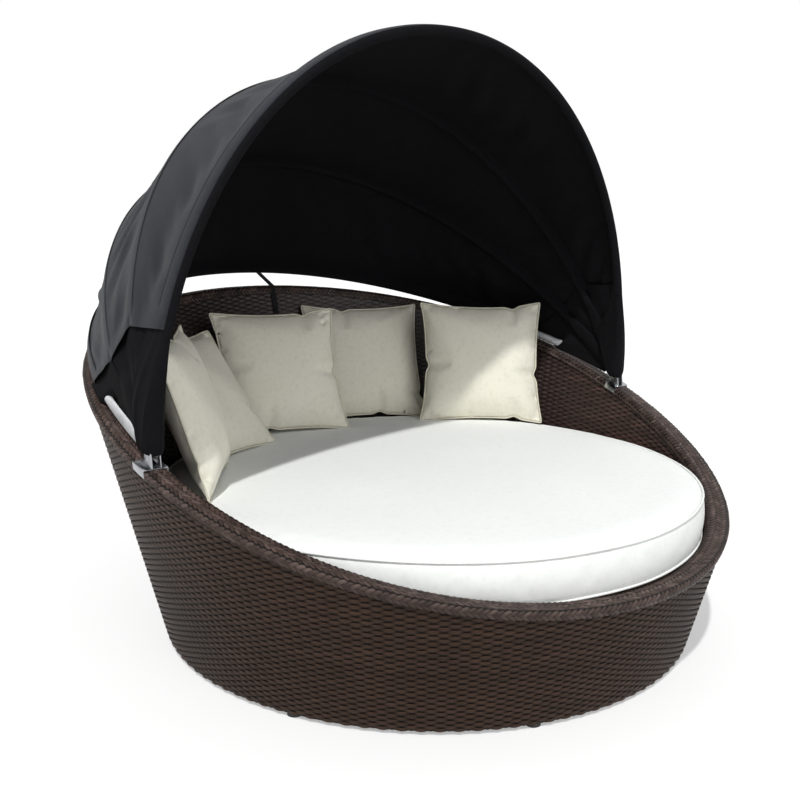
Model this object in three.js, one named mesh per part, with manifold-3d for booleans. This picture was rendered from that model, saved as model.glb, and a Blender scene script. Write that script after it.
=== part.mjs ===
// Round woven garden daybed with a folding canopy.
// Millimetres, +Z up. The origin is on the floor under the middle of the tub.
// -Y is the low front of the rim, +Y the high back. Left (-X) and right (+X) are as seen from the front.

import * as THREE from 'three';
import { mergeVertices } from 'three/addons/utils/BufferGeometryUtils.js';
import Module from 'manifold-3d';

const wasm = await Module();
wasm.setup();

// Driving dimensions of the tub
const floorRadius = 818;
const wallFlareShare = 0.263;
const rimBackHeight = 965;
const frontLipRise = 3.4;
const rimRiseShares = [0.659, 0.807, -0.466];
const weaveThickness = 6;
const tubeDepth = 40;
const tubeWidth = 20;
const seatGap = 0.3;
const frameGap = 0.7;
const ringSteps = 64;

// Rim band that caps the wall
const bandThickness = 3.8;
const bandSkirt = 26;
const bandRound = 7;
const capGap = 0.9;

// Base and seat
const glideHeight = 12;
const glideRadius = 20;
const glideTopRadius = 16;
const uprightCount = 8;
const seatRingWidth = 30;
const seatRingHeight = 25;
const seatRingTop = 296;
const bearerWidth = 40;
const bearerHeight = 25;
const bearerSpacingShare = 0.3667;
const bearerCount = 5;
const legRadius = 20;
const legFootRadius = 38;
const legFootHeight = 6;
const deckThickness = 8;
const liningSetback = 1.5;

// Mattress
const mattressGap = 23.3;
const mattressOffset = 15;
const mattressThickness = 132;
const mattressCrown = 14;
const mattressBulge = 5;
const mattressWelt = 7;
const mattressSteps = 56;
const crownShoulderShare = 0.72;
const crownRiseShare = 0.6;

// Loose pillows. The middle of each lower edge is placed in pillow sides: round the mattress edge
// from the back, and in from that edge. The twist is how far the pillow turns from facing the middle.
const pillowSide = 465;
const pillowThickness = 130;
const pillowWaist = 18;
const pillowEdge = 1.6;
const pillowCells = 10;
const pillowFullnessShare = 0.6;
const pillowPlaces = [
  { roundShare: 2.119, inShare: 0.37, twistDeg: -16.1, leanDeg: 17.7 },
  { roundShare: 1.255, inShare: 0.434, twistDeg: -18.2, leanDeg: 36.5 },
  { roundShare: 0.237, inShare: 0.393, twistDeg: -23.9, leanDeg: 23.8 },
  { roundShare: -0.787, inShare: 0.137, twistDeg: -0.4, leanDeg: 23.9 },
  { roundShare: -1.832, inShare: 0.249, twistDeg: 18.8, leanDeg: 15.9 },
];

// Hinge stack on each side of the rim
const pivotRise = 43.064;
const pivotDepth = 0;
const pivotInset = 7;
const boltRadius = 5;
const boltClearance = 0.06;
const boltHeadRadius = 10;
const boltHeadHeight = 6;
const nutRadius = 9.5;
const nutHeight = 8;
const boltTail = 2;
const washerRadius = 12;
const washerThickness = 1.2;
const stackGap = 0.3;
const roundSteps = 16;
const bracketPlate = 3;
const bracketLength = 50;
const bracketLeg = 20;
const earWidth = 44;
const earRound = 16;
const boltDomeShare = 0.7;

// Canopy bows. The rear bow's crown clears the back of the rim by the gap; the others turn on from it.
const rearRimGap = 45.7;
const bowTubeRadius = 12.5;
const bowFlatThickness = 4;
const bowFlatWidth = 37;
const bowFlatLength = 235;
const bowTaperLength = 70;
const bowExponent = 2.06;
const bowSteps = 26;
const bowSides = 10;
const bowEndShares = [0.99, 0.9, 0.7, 0.4];
const bows = [
  { name: 'rear_bow', turnDeg: 0, crownShare: 1.252 },
  { name: 'rear_middle_bow', turnDeg: 23, crownShare: 1.2267 },
  { name: 'front_middle_bow', turnDeg: 46.6, crownShare: 1.1752 },
  { name: 'front_bow', turnDeg: 76.6, crownShare: 1.1604 },
];

// Canopy cloth, one bay between each pair of bows, each edge starting up its bow in flat lengths
const clothThickness = 2.4;
const clothGap = 1.3;
const clothSagShare = 0.03;
const clothAcross = 6;
const hemTurnDeg = 120;
const hemSteps = 3;
const foldHeight = 320;
const foldFade = 70;
const foldDepth = 22;
const foldShare = 0.05;
const bays = [
  { name: 'canopy_rear_bay', rear: 0, front: 1, rearShare: 1.115, frontShare: 0.553 },
  { name: 'canopy_middle_bay', rear: 1, front: 2, rearShare: 0.426, frontShare: 0.362 },
  { name: 'canopy_front_bay', rear: 2, front: 3, rearShare: 0.319, frontShare: 0.264 },
];

// Strap that ties the rear bow to the tub
const strapWidth = 20;
const strapThickness = 1.6;
const strapAcross = 114;
const strapDrop = 204;
const buttonRadius = 14;
const buttonHeight = 4;

// Working lengths: how far a cut runs past its solid, and how close points weld
const overrun = 2;
const weldDistance = 1e-4;

const daybed = new THREE.Group();

const wicker = { color: 0x3a2c27, roughness: 0.6, metalness: 0 };
const braid = { color: 0x5a4742, roughness: 0.62, metalness: 0 };
const frameMetal = { color: 0x4b4441, roughness: 0.5, metalness: 0.6 };
const brightMetal = { color: 0xc9cbce, roughness: 0.28, metalness: 1 };
const plastic = { color: 0x201d1c, roughness: 0.7, metalness: 0 };
const canopyCloth = { color: 0x3c3d42, roughness: 0.85, metalness: 0 };
const whiteCloth = { color: 0xeef0ee, roughness: 0.9, metalness: 0 };
const creamCloth = { color: 0xdbd8c6, roughness: 0.9, metalness: 0 };

function addPiece(name, geometry, look) {
  const piece = new THREE.Mesh(geometry, new THREE.MeshStandardMaterial(look));
  piece.name = name;
  daybed.add(piece);
  return piece;
}

// Shared geometry helpers

const radians = THREE.MathUtils.degToRad;

function geometryFrom(points, faces) {
  const geometry = new THREE.BufferGeometry();
  const numbers = points.flatMap((point) => point.toArray());
  geometry.setAttribute('position', new THREE.Float32BufferAttribute(numbers, 3));
  geometry.setIndex(faces);
  geometry.computeVertexNormals();
  return geometry;
}

// Turns the faces over where they enclose a negative volume.
function toFacingOut(geometry) {
  const place = geometry.getAttribute('position');
  const corners = geometry.getIndex().array;
  const at = (i) => new THREE.Vector3().fromBufferAttribute(place, corners[i]);
  let volume = 0;
  for (let i = 0; i < corners.length; i += 3) {
    volume += at(i).dot(at(i + 1).cross(at(i + 2)));
  }
  if (volume < 0) {
    for (let i = 0; i < corners.length; i += 3) {
      [corners[i + 1], corners[i + 2]] = [corners[i + 2], corners[i + 1]];
    }
  }
  geometry.computeVertexNormals();
  return geometry;
}

// Joins a row of equal outlines: closed rows make a ring, open rows get flat ends.
function loft(rows, closed) {
  const count = rows[0].length;
  const faces = [];
  const spans = closed ? rows.length : rows.length - 1;
  for (let i = 0; i < spans; i += 1) {
    const next = (i + 1) % rows.length;
    for (let j = 0; j < count; j += 1) {
      const k = (j + 1) % count;
      faces.push(i * count + j, next * count + j, next * count + k);
      faces.push(i * count + j, next * count + k, i * count + k);
    }
  }
  if (!closed) {
    const last = (rows.length - 1) * count;
    for (let j = 1; j < count - 1; j += 1) {
      faces.push(0, j, j + 1);
      faces.push(last, last + j + 1, last + j);
    }
  }
  return toFacingOut(geometryFrom(rows.flat(), faces));
}

function toSolid(geometry) {
  const bare = geometry.clone();
  bare.deleteAttribute('normal');
  bare.deleteAttribute('uv');
  const welded = mergeVertices(bare, weldDistance);
  const vertProperties = new Float32Array(welded.getAttribute('position').array);
  const triVerts = new Uint32Array(welded.getIndex().array);
  return new wasm.Manifold(new wasm.Mesh({ numProp: 3, vertProperties, triVerts }));
}

function fromSolid(solid) {
  const mesh = solid.getMesh();
  const geometry = new THREE.BufferGeometry();
  const numbers = Array.from(mesh.vertProperties);
  geometry.setAttribute('position', new THREE.Float32BufferAttribute(numbers, 3));
  geometry.setIndex(Array.from(mesh.triVerts));
  geometry.computeVertexNormals();
  return geometry;
}

function rodAlongX(radius, length, x, y, z, steps = roundSteps) {
  return new THREE.CylinderGeometry(radius, radius, length, steps).rotateZ(Math.PI / 2).translate(x, y, z);
}

function standingRod(topRadius, footRadius, low, height, steps = roundSteps) {
  return new THREE.CylinderGeometry(topRadius, footRadius, height, steps)
    .rotateX(Math.PI / 2)
    .translate(0, 0, low + height / 2);
}

// Rim and wall curves

const deckTop = seatRingTop + seatGap + bearerHeight + seatGap + deckThickness;
const rimFrontHeight = deckTop + frontLipRise;

function rimHeight(angle) {
  const share = (1 + Math.sin(angle)) / 2;
  const rise = rimRiseShares.reduce((sum, value, power) => sum + value * share ** (power + 1), 0);
  return rimFrontHeight + (rimBackHeight - rimFrontHeight) * rise;
}

function wallRadius(height) {
  return floorRadius + wallFlareShare * height;
}

const stepAngle = (2 * Math.PI) / ringSteps;
const wallDepth = 2 * weaveThickness + 2 * frameGap + tubeDepth;
const tubeOuter = weaveThickness + frameGap;
const tubeInner = tubeOuter + tubeDepth;
const bandProud = seatGap + bandThickness;

// Places a wall point by its depth behind the outer face and its height.
function wallPoint(angle, depth, height) {
  const radius = wallRadius(height) - depth;
  return new THREE.Vector3(radius * Math.cos(angle), radius * Math.sin(angle), height);
}

function wallRing(outlineAt) {
  const rows = [];
  for (let i = 0; i < ringSteps; i += 1) {
    const angle = i * stepAngle;
    rows.push(outlineAt(angle).map(([depth, height]) => wallPoint(angle, depth, height)));
  }
  return loft(rows, true);
}

function box(outer, inner, low, high) {
  return [[outer, low], [outer, high], [inner, high], [inner, low]];
}

const underBand = (angle) => rimHeight(angle) - bandThickness - capGap;
const railBottom = (angle) => underBand(angle) - tubeWidth;

// Height of a faceted ring between two of its steps
function facetHeight(heightAt, angle) {
  const step = Math.floor(angle / stepAngle);
  const share = angle / stepAngle - step;
  return THREE.MathUtils.lerp(heightAt(step * stepAngle), heightAt((step + 1) * stepAngle), share);
}

// Tub

function outerShell() {
  return wallRing((angle) => box(0, weaveThickness, glideHeight, underBand(angle)));
}

function innerBackrest() {
  const outer = wallDepth - weaveThickness;
  return wallRing((angle) => box(outer, wallDepth, seatRingTop + seatGap, underBand(angle)));
}

function bandOutline(angle) {
  const top = rimHeight(angle);
  const outer = -bandProud;
  const inner = wallDepth + bandProud;
  const corner = (centre, from) => [0, 1, 2].map((i) => {
    const turn = from + (i * Math.PI) / 4;
    return [centre - bandRound * Math.cos(turn), top - bandRound + bandRound * Math.sin(turn)];
  });
  return [
    [outer, top - bandSkirt],
    ...corner(outer + bandRound, 0),
    ...corner(inner - bandRound, Math.PI / 2),
    [inner, top - bandSkirt],
    [inner - bandThickness, top - bandSkirt],
    [inner - bandThickness, top - bandThickness],
    [outer + bandThickness, top - bandThickness],
    [outer + bandThickness, top - bandSkirt],
  ];
}

function ringTube(outer, inner, low, height) {
  return wallRing((angle) => box(outer, inner, low(angle), low(angle) + height));
}

function seatRing() {
  const outer = tubeInner + frameGap;
  return ringTube(outer, outer + seatRingWidth, () => seatRingTop - seatRingHeight, seatRingHeight);
}

function upright(angle) {
  const corners = [[tubeOuter, -1], [tubeOuter, 1], [tubeInner, 1], [tubeInner, -1]];
  const row = (heightAt) => corners.map(([depth, side]) => {
    const spread = (side * tubeWidth) / 2 / (wallRadius(rimFrontHeight) - depth);
    const height = heightAt(angle + spread);
    const radius = wallRadius(height) - depth;
    const across = (side * tubeWidth) / 2;
    return new THREE.Vector3(
      radius * Math.cos(angle) - across * Math.sin(angle),
      radius * Math.sin(angle) + across * Math.cos(angle),
      height,
    );
  });
  const foot = () => glideHeight + tubeWidth + seatGap;
  const head = (turn) => facetHeight(railBottom, turn) - frameGap;
  return loft([row(foot), row(head)], false);
}

function glide(angle) {
  const place = wallPoint(angle, (tubeOuter + tubeInner) / 2, glideHeight);
  return standingRod(glideTopRadius, glideRadius, 0, glideHeight - seatGap).translate(place.x, place.y, 0);
}

function bearer(place) {
  const low = seatRingTop + seatGap;
  const reach = wallRadius(low) - wallDepth - liningSetback;
  const bar = new THREE.BoxGeometry(2 * reach, bearerWidth, bearerHeight)
    .translate(0, place, low + bearerHeight / 2);
  const trim = standingRod(reach, reach, low - overrun, bearerHeight + 2 * overrun, ringSteps);
  return fromSolid(toSolid(bar).intersect(toSolid(trim)));
}

function seatDeck() {
  const low = deckTop - deckThickness;
  const radius = wallRadius(low) - wallDepth - bandProud - liningSetback;
  return standingRod(radius, radius, low, deckThickness, ringSteps);
}

function centreLeg() {
  const buried = legFootHeight / 2;
  const foot = standingRod(legFootRadius, legFootRadius, 0, legFootHeight);
  const post = standingRod(legRadius, legRadius, buried, seatRingTop - buried);
  return fromSolid(toSolid(foot).add(toSolid(post)));
}

// Mattress and pillows

const mattressRadius = wallRadius(deckTop) - wallDepth - mattressGap;
const mattressLow = deckTop + seatGap;
const mattressHigh = mattressLow + mattressThickness;

function mattressProfile() {
  const bulge = mattressRadius + mattressBulge;
  const belt = mattressThickness / 3;
  return [
    [0, mattressLow],
    [mattressRadius - 2 * mattressWelt, mattressLow],
    [mattressRadius, mattressLow + mattressWelt],
    [bulge, mattressLow + belt],
    [bulge, mattressHigh - belt],
    [mattressRadius, mattressHigh - mattressWelt],
    [mattressRadius - 2 * mattressWelt, mattressHigh],
    [mattressRadius * crownShoulderShare, mattressHigh + mattressCrown * crownRiseShare],
    [0, mattressHigh + mattressCrown],
  ];
}

function mattress() {
  const points = mattressProfile().map(([radius, height]) => new THREE.Vector2(radius, height));
  return new THREE.LatheGeometry(points, mattressSteps).rotateX(Math.PI / 2).translate(0, -mattressOffset, 0);
}

function mattressTopAt(x, y) {
  const top = mattressProfile().slice(-3).reverse();
  const away = Math.min(Math.hypot(x, y + mattressOffset), top.at(-1)[0]);
  const outer = Math.max(top.findIndex(([radius]) => radius >= away), 1);
  const [from, to] = [top[outer - 1], top[outer]];
  return THREE.MathUtils.mapLinear(away, from[0], to[0], from[1], to[1]);
}

// Closes a grid of front points and a grid of back points into one body.
function sheet(front, back) {
  const rows = front.length;
  const columns = front[0].length;
  const points = [...front.flat(), ...back.flat()];
  const at = (side, i, j) => side * rows * columns + i * columns + j;
  const faces = [];
  const quad = (a, b, c, d) => faces.push(a, b, c, a, c, d);
  for (let i = 0; i < rows - 1; i += 1) {
    for (let j = 0; j < columns - 1; j += 1) {
      quad(at(0, i, j), at(0, i + 1, j), at(0, i + 1, j + 1), at(0, i, j + 1));
      quad(at(1, i, j), at(1, i, j + 1), at(1, i + 1, j + 1), at(1, i + 1, j));
    }
  }
  for (let i = 0; i < rows - 1; i += 1) {
    quad(at(0, i, 0), at(1, i, 0), at(1, i + 1, 0), at(0, i + 1, 0));
    quad(at(0, i + 1, columns - 1), at(1, i + 1, columns - 1), at(1, i, columns - 1), at(0, i, columns - 1));
  }
  for (let j = 0; j < columns - 1; j += 1) {
    quad(at(0, 0, j + 1), at(1, 0, j + 1), at(1, 0, j), at(0, 0, j));
    quad(at(0, rows - 1, j), at(1, rows - 1, j), at(1, rows - 1, j + 1), at(0, rows - 1, j + 1));
  }
  return geometryFrom(points, faces);
}

function pillowGrid(side) {
  const half = pillowSide / 2;
  const turns = Array.from({ length: pillowCells + 1 }, (_, i) => Math.PI * (i / pillowCells - 1 / 2));
  const row = turns.map(Math.sin);
  return row.map((u) => row.map((w) => {
    const fullness = ((1 - u * u) * (1 - w * w)) ** pillowFullnessShare;
    const thick = pillowEdge + (pillowThickness / 2 - pillowEdge) * fullness;
    return new THREE.Vector3(
      u * (half - pillowWaist * (1 - w * w)),
      half + w * (half - pillowWaist * (1 - u * u)),
      side * thick,
    );
  }));
}

function pillow({ roundShare, inShare, twistDeg, leanDeg }) {
  const place = Math.PI / 2 + (roundShare * pillowSide) / mattressRadius;
  const away = mattressRadius - inShare * pillowSide;
  const [x, y] = [away * Math.cos(place), away * Math.sin(place)];
  const turn = place + Math.PI + radians(twistDeg);
  const lean = radians(leanDeg);
  const face = new THREE.Vector3(Math.cos(turn), Math.sin(turn), 0);
  const side = new THREE.Vector3(-Math.sin(turn), Math.cos(turn), 0);
  const up = new THREE.Vector3(0, 0, Math.cos(lean)).addScaledVector(face, -Math.sin(lean));
  const out = new THREE.Vector3().crossVectors(side, up);
  const corners = [-1, 1].map((s) => mattressTopAt(
    x + (s * side.x * pillowSide) / 2,
    y + (s * side.y * pillowSide) / 2,
  ));
  const rest = Math.max(...corners) + pillowEdge * Math.sin(lean) + seatGap;
  const frame = new THREE.Matrix4().makeBasis(side, up, out).setPosition(x, y, rest);
  const geometry = sheet(pillowGrid(1), pillowGrid(-1));
  return geometry.applyMatrix4(frame);
}

// Hinge stack, drawn for the +X side and mirrored for the other

const pivotRim = rimHeight(0);
const pivotHeight = pivotRim + pivotRise;
const rimRise = rimHeight(stepAngle) - rimHeight(-stepAngle);
const rimSlope = Math.atan2(rimRise, 2 * wallRadius(pivotRim) * Math.sin(stepAngle));
const stackPitch = bowFlatThickness + washerThickness + 2 * stackGap;
const stackCentre = wallRadius(pivotRim) - wallDepth / 2 - pivotInset;
const stackHalf = ((bows.length - 1) * stackPitch + bowFlatThickness) / 2;
const earOffset = stackHalf + stackGap + bracketPlate / 2;
const boltHole = boltRadius / Math.cos(Math.PI / roundSteps) + boltClearance;

function mirrored(geometry, side) {
  if (side > 0) return geometry;
  return toFacingOut(geometry.scale(-1, 1, 1));
}

function drilled(solid, radius, x, length) {
  return solid.subtract(toSolid(rodAlongX(radius, length, x, pivotDepth, pivotHeight)));
}

function saddle() {
  const facetDrop = (bracketLength / 2) * Math.tan(stepAngle / 2);
  const outer = bandProud + frameGap;
  const inner = -(wallDepth + bandProud + frameGap + facetDrop);
  const top = capGap;
  const outline = [
    [outer + bracketPlate, -bracketLeg], [outer + bracketPlate, top + bracketPlate],
    [inner - bracketPlate, top + bracketPlate], [inner - bracketPlate, -bracketLeg],
    [inner, -bracketLeg], [inner, top], [outer, top], [outer, -bracketLeg],
  ];
  const shape = new THREE.Shape(outline.map(([across, high]) => new THREE.Vector2(across, high)));
  const alongWall = new THREE.Matrix4().makeShear(0, 0, 0, 0, wallFlareShare, 0);
  return new THREE.ExtrudeGeometry(shape, { depth: bracketLength, bevelEnabled: false })
    .rotateX(Math.PI / 2)
    .translate(0, bracketLength / 2, 0)
    .rotateX(rimSlope)
    .applyMatrix4(alongWall)
    .translate(wallRadius(pivotRim), 0, pivotRim);
}

function ear(offset) {
  const half = earWidth / 2;
  const saddleTop = pivotRim + (capGap + bracketPlate / 2) / Math.cos(rimSlope);
  const base = (along) => saddleTop + along * Math.tan(rimSlope);
  const shape = new THREE.Shape();
  shape.moveTo(-half, base(-half));
  shape.lineTo(half, base(half));
  shape.absarc(pivotDepth, pivotHeight, earRound, 0, Math.PI, false);
  const intoPlace = new THREE.Matrix4().makeBasis(
    new THREE.Vector3(0, 1, 0),
    new THREE.Vector3(0, 0, 1),
    new THREE.Vector3(1, 0, 0),
  );
  const plate = { depth: bracketPlate, bevelEnabled: false, curveSegments: roundSteps / 2 };
  return new THREE.ExtrudeGeometry(shape, plate)
    .applyMatrix4(intoPlace)
    .translate(stackCentre + offset - bracketPlate / 2, 0, 0);
}

function hingeBracket() {
  const body = toSolid(saddle()).add(toSolid(ear(earOffset))).add(toSolid(ear(-earOffset)));
  return fromSolid(drilled(body, boltHole, stackCentre, 2 * earOffset + 2 * bracketPlate));
}

function pivotBolt() {
  const seat = earOffset + bracketPlate / 2 + seatGap;
  const tail = seat + seatGap + nutHeight + boltTail;
  const profile = [
    [0, seat + boltHeadHeight],
    [boltHeadRadius * boltDomeShare, seat + boltHeadHeight],
    [boltHeadRadius, seat + boltHeadHeight / 3],
    [boltHeadRadius, seat],
    [boltRadius, seat],
    [boltRadius, -tail],
    [0, -tail],
  ];
  const points = profile.map(([radius, along]) => new THREE.Vector2(radius, along));
  return toFacingOut(new THREE.LatheGeometry(points, roundSteps)
    .rotateZ(-Math.PI / 2)
    .translate(stackCentre, pivotDepth, pivotHeight));
}

function pivotNut() {
  const middle = stackCentre - earOffset - bracketPlate / 2 - seatGap - nutHeight / 2;
  const body = toSolid(rodAlongX(nutRadius, nutHeight, middle, pivotDepth, pivotHeight, 6));
  return fromSolid(drilled(body, boltHole, middle, nutHeight + 2 * overrun));
}

function spacerWasher(order) {
  const x = stackCentre + (bows.length / 2 - order) * stackPitch;
  const blank = toSolid(rodAlongX(washerRadius, washerThickness, x, pivotDepth, pivotHeight));
  return fromSolid(drilled(blank, boltHole, x, washerThickness + 2 * overrun));
}

// Canopy bows

const rearCrownHeight = rimBackHeight + rearRimGap + bowTubeRadius + clothGap + clothThickness;
const rearAngle = Math.asin((rearCrownHeight - pivotHeight) / (bows[0].crownShare * stackCentre));

bows.forEach((bow, order) => {
  bow.slot = stackCentre + ((bows.length - 1) / 2 - order) * stackPitch;
  bow.crown = bow.crownShare * stackCentre;
  bow.angle = rearAngle + radians(bow.turnDeg);
});

const bowForward = (bow) => new THREE.Vector3(0, -Math.sin(bow.angle), Math.cos(bow.angle));

// Point of the bow's plane: across along X, reach away from the pivot line
function bowPlanePoint(bow, across, reach) {
  return new THREE.Vector3(
    across,
    pivotDepth + reach * Math.cos(bow.angle),
    pivotHeight + reach * Math.sin(bow.angle),
  );
}

const power = (value, exponent) => Math.sign(value) * Math.abs(value) ** exponent;

function bowStation(bow, turn) {
  const exponent = 2 / bowExponent;
  const across = bow.slot * power(Math.cos(turn), exponent);
  const reach = bow.crown * power(Math.sin(turn), exponent);
  const slopeAcross = power(Math.cos(turn), 2 - exponent) / bow.slot;
  const slopeReach = power(Math.sin(turn), 2 - exponent) / bow.crown;
  const outward = new THREE.Vector3(
    slopeAcross,
    slopeReach * Math.cos(bow.angle),
    slopeReach * Math.sin(bow.angle),
  ).normalize();
  return { centre: bowPlanePoint(bow, across, reach), outward, reach, forward: bowForward(bow) };
}

function turnAtReach(bow, reach) {
  return Math.asin((reach / bow.crown) ** (bowExponent / 2));
}

// Stations along a bow: the given reaches up both legs, even steps over the round part between
function bowTurns(bow, legReaches) {
  const legs = legReaches.map((reach) => turnAtReach(bow, reach));
  const round = turnAtReach(bow, bowFlatLength + bowTaperLength);
  const shares = Array.from({ length: bowSteps + 1 }, (_, i) => i / bowSteps);
  const arc = shares.map((share) => THREE.MathUtils.lerp(round, Math.PI - round, share));
  return [...legs, ...arc, ...legs.toReversed().map((turn) => Math.PI - turn)];
}

function bowSection(reach) {
  const share = THREE.MathUtils.smoothstep(reach, bowFlatLength, bowFlatLength + bowTaperLength);
  return {
    thick: THREE.MathUtils.lerp(bowFlatThickness / 2, bowTubeRadius, share),
    wide: THREE.MathUtils.lerp(bowFlatWidth / 2, bowTubeRadius, share),
  };
}

function bowRow(centre, outward, across, thick, wide) {
  return Array.from({ length: bowSides }, (_, i) => {
    const turn = ((i + 1 / 2) * 2 * Math.PI) / bowSides;
    const side = Math.sin(turn);
    return centre.clone()
      .addScaledVector(outward, thick * Math.cos(turn))
      .addScaledVector(across, thick * side + Math.sign(side) * (wide - thick));
  });
}

function bowGeometry(bow) {
  const across = bowForward(bow);
  const half = bowFlatWidth / 2;
  const endRow = (share, side) => {
    const centre = bowPlanePoint(bow, side * bow.slot, -half * share);
    const wide = Math.max(half * Math.sqrt(1 - share * share), bowFlatThickness / 2);
    return bowRow(centre, new THREE.Vector3(side, 0, 0), across, bowFlatThickness / 2, wide);
  };
  const legReaches = [0, half, bowFlatLength / 2, bowFlatLength, bowFlatLength + bowTaperLength / 2];
  const middle = bowTurns(bow, legReaches).map((turn) => {
    const { centre, outward, reach } = bowStation(bow, turn);
    const { thick, wide } = bowSection(reach);
    return bowRow(centre, outward, across, thick, wide);
  });
  const rows = [
    ...bowEndShares.map((share) => endRow(share, 1)),
    ...middle,
    ...bowEndShares.toReversed().map((share) => endRow(share, -1)),
  ];
  const drills = [1, -1].map((side) => side * bow.slot);
  const body = drills.reduce(
    (solid, x) => drilled(solid, boltHole, x, bowFlatThickness + 2 * overrun),
    toSolid(loft(rows, false)),
  );
  return fromSolid(body);
}

// Canopy cloth

function clothEdge(bow, startShare) {
  const start = startShare * bowFlatLength;
  const middle = Math.max(bowFlatLength, (start + bowFlatLength + bowTaperLength) / 2);
  return bowTurns(bow, [start, middle]).map((turn) => bowStation(bow, turn));
}

function clothPoint(rear, front, share, lift) {
  const base = bowTubeRadius + clothGap + lift;
  const over = ({ centre, outward, forward }, shift) => centre.clone()
    .addScaledVector(outward, base)
    .addScaledVector(forward, shift);
  const low = over(rear, seatGap);
  const high = over(front, -seatGap);
  const width = low.distanceTo(high);
  const hollow = Math.sin(Math.PI * share) ** 2;
  const reach = (rear.reach + front.reach) / 2;
  const fold = 1 - THREE.MathUtils.smoothstep(reach, foldHeight - foldFade, foldHeight);
  const depth = clothSagShare * width + fold * Math.min(foldDepth, width * foldShare);
  const outward = rear.outward.clone().lerp(front.outward, share).normalize();
  return low.lerp(high, share).addScaledVector(outward, -hollow * depth);
}

// Rows across a bay, closer together beside the bows
const clothTurns = Array.from({ length: clothAcross + 1 }, (_, j) => (Math.PI * j) / clothAcross);
const clothShares = clothTurns.map((turn) => (1 - Math.cos(turn)) / 2);

// Cloth turned round a bow, from its top towards the side that faces away from the bay
function hemPoint(edge, turn, lift, away) {
  const { wide } = bowSection(edge.reach);
  const reachOut = (bowTubeRadius + clothGap + lift) * Math.cos(turn);
  const reachAcross = (wide + 2 * clothGap + lift) * Math.sin(turn);
  return edge.centre.clone()
    .addScaledVector(edge.outward, reachOut)
    .addScaledVector(edge.forward, away * reachAcross);
}

function bayGeometry({ rear, front, rearShare, frontShare }) {
  const rearBow = bows[rear];
  const frontBow = bows[front];
  const hemTurns = Array.from({ length: hemSteps }, (_, i) => (radians(hemTurnDeg) * (i + 1)) / hemSteps);
  const frontEdge = clothEdge(frontBow, frontShare);
  const surface = (lift) => clothEdge(rearBow, rearShare).map((low, i) => {
    const high = frontEdge[i];
    const row = clothShares.map((share) => clothPoint(low, high, share, lift));
    if (rear === 0) {
      row.unshift(...hemTurns.map((turn) => hemPoint(low, turn, lift, -1)).reverse());
    }
    if (front === bows.length - 1) {
      row.push(...hemTurns.map((turn) => hemPoint(high, turn, lift, 1)));
    }
    return row;
  });
  return toFacingOut(sheet(surface(clothThickness), surface(0)));
}

// Strap between the rear hem and the inside of the wall

function strapPath() {
  const rearBow = bows[0];
  const turn = Math.acos((strapAcross / rearBow.slot) ** (bowExponent / 2));
  const edge = bowStation(rearBow, turn);
  const top = hemPoint(edge, radians(hemTurnDeg), seatGap, -1)
    .addScaledVector(edge.outward, -clothThickness);
  const angle = Math.atan2(top.y, top.x);
  const rim = rimHeight(angle);
  const clear = seatGap + strapThickness;
  const inside = wallDepth + bandProud + clear;
  const anchor = rim - strapDrop;
  const points = [
    top,
    wallPoint(angle, inside - bandRound, rim + 2 * clear),
    wallPoint(angle, inside, rim - bandRound / 2),
    wallPoint(angle, inside, rim - bandSkirt),
    wallPoint(angle, wallDepth + frameGap, anchor + buttonRadius),
    wallPoint(angle, wallDepth + frameGap, anchor),
    wallPoint(angle, wallDepth + frameGap, anchor - buttonRadius),
  ];
  return { points, angle, anchor };
}

function rearStrap() {
  const { points, angle } = strapPath();
  const side = new THREE.Vector3(-Math.sin(angle), Math.cos(angle), 0);
  const grid = (lift) => points.map((point, i) => {
    const before = points[Math.max(i - 1, 0)];
    const after = points[Math.min(i + 1, points.length - 1)];
    const along = after.clone().sub(before).normalize();
    const normal = new THREE.Vector3().crossVectors(side, along).normalize();
    const middle = point.clone().addScaledVector(normal, lift);
    return [-1, 1].map((s) => middle.clone().addScaledVector(side, (s * strapWidth) / 2));
  });
  return toFacingOut(sheet(grid(0), grid(strapThickness)));
}

function strapButton() {
  const { angle, anchor } = strapPath();
  const depth = wallDepth + 2 * frameGap + strapThickness + buttonHeight / 2;
  const place = wallPoint(angle, depth, anchor);
  return new THREE.CylinderGeometry(buttonRadius, buttonRadius, buttonHeight, roundSteps)
    .rotateZ(Math.PI / 2)
    .rotateY(Math.atan(wallFlareShare))
    .rotateZ(angle)
    .translate(place.x, place.y, place.z);
}

// Assembly

addPiece('outer_shell', outerShell(), wicker);
addPiece('inner_backrest', innerBackrest(), wicker);
addPiece('rim_band', wallRing(bandOutline), braid);
addPiece('rim_rail', ringTube(tubeOuter, tubeInner, railBottom, tubeWidth), frameMetal);
addPiece('floor_ring', ringTube(tubeOuter, tubeInner, () => glideHeight, tubeWidth), frameMetal);
addPiece('seat_ring', seatRing(), frameMetal);

for (let i = 0; i < uprightCount; i += 1) {
  const angle = ((i + 1 / 2) * 2 * Math.PI) / uprightCount;
  addPiece(`upright_${i + 1}`, upright(angle), frameMetal);
  addPiece(`glide_${i + 1}`, glide(angle), plastic);
}

const bearerSpacing = bearerSpacingShare * floorRadius;
for (let i = 0; i < bearerCount; i += 1) {
  addPiece(`bearer_${i + 1}`, bearer((i - (bearerCount - 1) / 2) * bearerSpacing), frameMetal);
}

addPiece('centre_leg', centreLeg(), frameMetal);
addPiece('seat_deck', seatDeck(), wicker);
addPiece('mattress', mattress(), whiteCloth);
pillowPlaces.forEach((place, i) => addPiece(`pillow_${i + 1}`, pillow(place), creamCloth));

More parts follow.
